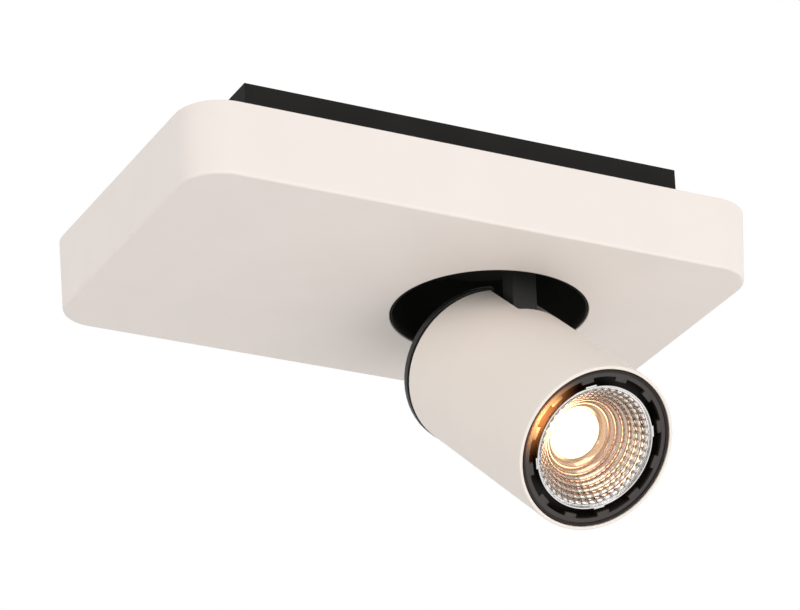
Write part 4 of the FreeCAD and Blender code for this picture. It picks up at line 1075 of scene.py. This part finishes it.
# %% The tree for the bowl: a grid and its shares
bowl_sizes = [("Facets", "Int", FACETS), ("Rings", "Int", BOWL_RINGS),
              ("Facet Steps", "Int", FACET_STEPS), ("Ring Steps", "Int", RING_STEPS),
              ("Throat Radius", "Float", THROAT_R), ("Mouth Radius", "Float", MOUTH_R),
              ("Height", "Float", BOWL_HEIGHT), ("Curve", "Float", BOWL_CURVE),
              ("Ring Swell", "Float", RING_SWELL), ("Facet Swell", "Float", FACET_SWELL)]
bowl_tree, given, result = new_tree("faceted_bowl", bowl_sizes + [("Material", "Material", None)])
join = bowl_tree.links.new
grid = bowl_tree.nodes.new("GeometryNodeMeshGrid")
grid.inputs["Size X"].default_value = 1.0
grid.inputs["Size Y"].default_value = 1.0
across = number(bowl_tree, "MULTIPLY", given.outputs["Facets"], given.outputs["Facet Steps"])
along = number(bowl_tree, "MULTIPLY", given.outputs["Rings"], given.outputs["Ring Steps"])
join(number(bowl_tree, "ADD", across, 1.0), grid.inputs["Vertices X"])
join(number(bowl_tree, "ADD", along, 1.0), grid.inputs["Vertices Y"])
where = bowl_tree.nodes.new("GeometryNodeInputPosition")
split = bowl_tree.nodes.new("ShaderNodeSeparateXYZ")
join(where.outputs[0], split.inputs[0])
round_share = number(bowl_tree, "ADD", split.outputs["X"], 0.5)
up_share = number(bowl_tree, "ADD", split.outputs["Y"], 0.5)
angle = number(bowl_tree, "MULTIPLY", round_share, 2 * math.pi)
print("grid with", len(bowl_sizes), "sizes")


# %% The tree for the bowl: humps and grooves
def pillow(tree, share, count):
    """One hump per facet: 0 at its edges and 1 in its middle."""
    inside = number(tree, "FRACT", number(tree, "MULTIPLY", share, count))
    centred = number(tree, "SUBTRACT", number(tree, "MULTIPLY", inside, 2.0), 1.0)
    return number(tree, "SUBTRACT", 1.0, number(tree, "MULTIPLY", centred, centred))


facet_hump = pillow(bowl_tree, round_share, given.outputs["Facets"])
ring_hump = pillow(bowl_tree, up_share, given.outputs["Rings"])
facet_share = number(bowl_tree, "MULTIPLY", up_share, up_share)
bulge = number(bowl_tree, "MULTIPLY", facet_hump, given.outputs["Facet Swell"])
bulge = number(bowl_tree, "MULTIPLY", bulge, facet_share)
bulge = number(bowl_tree, "ADD", bulge, given.outputs["Ring Swell"])
swell = number(bowl_tree, "MULTIPLY", bulge, ring_hump)
# the crest below marks the grooves for the painted shade in the reflector's colour
facet_groove = number(bowl_tree, "SUBTRACT", 1.0, facet_hump)
facet_groove = number(bowl_tree, "MULTIPLY", facet_groove, facet_share)
crest = number(bowl_tree, "SUBTRACT", 1.0, facet_groove)
crest = number(bowl_tree, "MULTIPLY", crest, ring_hump)
print("humps use", len(bowl_tree.nodes), "nodes so far")

# %% The tree for the bowl: every point in its place
SEAM_GAP = 0.001
throat_r = given.outputs["Throat Radius"]
spread = number(bowl_tree, "SUBTRACT", given.outputs["Mouth Radius"], throat_r)
climb = number(bowl_tree, "POWER", up_share, given.outputs["Curve"])
widening = number(bowl_tree, "MULTIPLY", spread, climb)
radius = number(bowl_tree, "ADD", throat_r, widening)
radius = number(bowl_tree, "SUBTRACT", radius, swell)
height = number(bowl_tree, "MULTIPLY", up_share, given.outputs["Height"])
height = number(bowl_tree, "ADD", height, swell)
spot = bowl_tree.nodes.new("ShaderNodeCombineXYZ")
join(number(bowl_tree, "MULTIPLY", radius, number(bowl_tree, "COSINE", angle)), spot.inputs["X"])
join(number(bowl_tree, "MULTIPLY", radius, number(bowl_tree, "SINE", angle)), spot.inputs["Y"])
join(height, spot.inputs["Z"])
keep = bowl_tree.nodes.new("GeometryNodeStoreNamedAttribute")
keep.inputs["Name"].default_value = "crest"
join(grid.outputs["Mesh"], keep.inputs["Geometry"])
join(crest, keep.inputs["Value"])
move = bowl_tree.nodes.new("GeometryNodeSetPosition")
join(keep.outputs["Geometry"], move.inputs["Geometry"])
join(spot.outputs[0], move.inputs["Position"])
seam = bowl_tree.nodes.new("GeometryNodeMergeByDistance")
seam.inputs["Distance"].default_value = SEAM_GAP
join(move.outputs["Geometry"], seam.inputs["Geometry"])
end_tree(bowl_tree, seam.outputs["Geometry"], given, result)

# %% The faceted inside
bowl_values = {label: value for label, _, value in bowl_sizes}
bowl_values["Material"] = finishes["bright_reflector"]
bowl = grown(bowl_tree, bpy.data.meshes.new("bowl"), bowl_values)
bowl.transform(Matrix.Translation((0, 0, FOOT)))
print("bowl:", len(bowl.polygons), "faces")

# %% The smooth outside and the ledge
LIP_WALL = 0.6
LIP_HEIGHT = 1.1
LIP_ROUND = 0.12
OUTER_STEPS = 12
seat = FOOT + BOWL_HEIGHT
lip_top = seat + LIP_HEIGHT
lip_inner = WALL_R - LIP_WALL
columns = FACETS * FACET_STEPS
back_r = THROAT_R + BOWL_WALL
back_section = [(THROAT_R, FOOT)]
for i in range(OUTER_STEPS + 1):
    share = i / OUTER_STEPS
    radius = back_r + (WALL_R - back_r) * share ** BOWL_CURVE
    back_section.append((radius, FOOT + BOWL_HEIGHT * share))
back_section += [(WALL_R, lip_top - LIP_ROUND), (WALL_R - LIP_ROUND, lip_top),
                 (lip_inner + LIP_ROUND, lip_top), (lip_inner, lip_top - LIP_ROUND),
                 (lip_inner, seat), (MOUTH_R, seat)]
bowl_back = turned(back_section, "bowl_back", columns)
work = bmesh.new()
work.from_mesh(bowl_back)
work.verts.ensure_lookup_table()
ends = {0, len(back_section) - 1}
closing = [f for f in work.faces if {v.index // columns for v in f.verts} == ends]
bmesh.ops.delete(work, geom=closing, context="FACES_ONLY")
work.to_mesh(bowl_back)
work.free()
print("left open for the facets:", len(closing), "faces")

# %% Lugs and the whole reflector
LUG_COUNT = 4
LUG_FIRST = math.radians(27)
LUG_SIZE = (0.95, 4.4, 0.7)
LUG_ROOT = 0.4
LUG_DROP = 0.55
LUG_SOFT = 0.15
lug = soft_block(LUG_SIZE, (LUG_SIZE[0] / 2, 0, lip_top - LUG_DROP), LUG_SOFT)
lugs = in_a_circle(lug, LUG_COUNT, WALL_R - LUG_ROOT, "reflector", LUG_FIRST)
piece("faceted_reflector", merged([bowl, bowl_back, lugs], "faceted_reflector"), HEAD, "head",
      "reflector", sharp=15.0)

# %% [markdown]
# ## Small fasteners
#
# Three pan head screws with a cross hold the rear cap. The screw is made once, as a turned part
# with two bars cut out of its head, and the tree for circles sets three of them round the cap's
# middle. A cross in the bump alone would look as good from afar but would not be in the mesh.
# The other screws and the rivets are out of sight, so their solids only take a finish.

# %% Cap screws
SCREW_HEAD_R = 2.75
SCREW_HEAD = 2.0
HEAD_ROUND = 0.9
HEAD_STEPS = 5
SHANK_R = 1.5
SHANK_TIP = 0.4
SHANK_LENGTH = 12.0
SCREW_SIDES = 40
CAP_BACK = -3.7
CAP_SCREW_COUNT = 3
CAP_SCREW_CIRCLE_R = 9.0
CROSS_WIDTH = 0.8
CROSS_REACH = 3.3
CROSS_DEPTH = 0.9
CROSS_SOFT = 0.1

profile = [(0.0, -SCREW_HEAD)]
for i in range(HEAD_STEPS + 1):
    bend = math.pi / 2 * i / HEAD_STEPS
    profile.append((SCREW_HEAD_R - HEAD_ROUND + HEAD_ROUND * math.sin(bend),
                    -SCREW_HEAD + HEAD_ROUND - HEAD_ROUND * math.cos(bend)))
profile += [(SCREW_HEAD_R, 0.0), (SHANK_R, 0.0), (SHANK_R, SHANK_LENGTH - SHANK_TIP),
            (SHANK_R - SHANK_TIP, SHANK_LENGTH), (0.0, SHANK_LENGTH)]
screw = turned(profile, "pan_screw", SCREW_SIDES)
outward(screw)
bars = [soft_block((x, y, 2 * CROSS_DEPTH), (0, 0, -SCREW_HEAD), CROSS_SOFT, segments=1)
        for x, y in ((CROSS_REACH, CROSS_WIDTH), (CROSS_WIDTH, CROSS_REACH))]
screw = carved(screw, bars)
screw.transform(Matrix.Translation((0, 0, CAP_BACK)))
screws = in_a_circle(screw, CAP_SCREW_COUNT, CAP_SCREW_CIRCLE_R, "cap_screws", -math.pi / 2)
piece("rear_cap_screws", screws, HEAD, "head", "cap_screws")

# %% [markdown]
# ## Floor
#
# The floor belongs to the stage and not to the object. A shadow catcher would need a picture to
# lie over, so this is a plain pale floor that is lifted to white where it is seen, which blends it
# into the background and keeps the shadow.

# %% Floor
FLOOR_Z = -2.4
FLOOR_HALF = 8.0
FLOOR_COLOUR = (0.86, 0.86, 0.85)
FLOOR_LIFT = 0.46
floor_corners = [(x * FLOOR_HALF, y * FLOOR_HALF, FLOOR_Z)
                 for x, y in ((-1, -1), (1, -1), (1, 1), (-1, 1))]
floor_mesh = bpy.data.meshes.new("floor")
floor_mesh.from_pydata(floor_corners, [], [(0, 1, 2, 3)])
floor_finish = finish("floor", FLOOR_COLOUR, 0.8)
floor_tree = floor_finish.node_tree
lift = number(floor_tree, "MULTIPLY", seen_ray(floor_tree), FLOOR_LIFT)
principled(floor_finish).inputs["Emission Color"].default_value = WHITE
floor_tree.links.new(lift, principled(floor_finish).inputs["Emission Strength"])
floor_mesh.materials.append(floor_finish)
linked("floor", floor_mesh)
print("floor at", FLOOR_Z, "m")
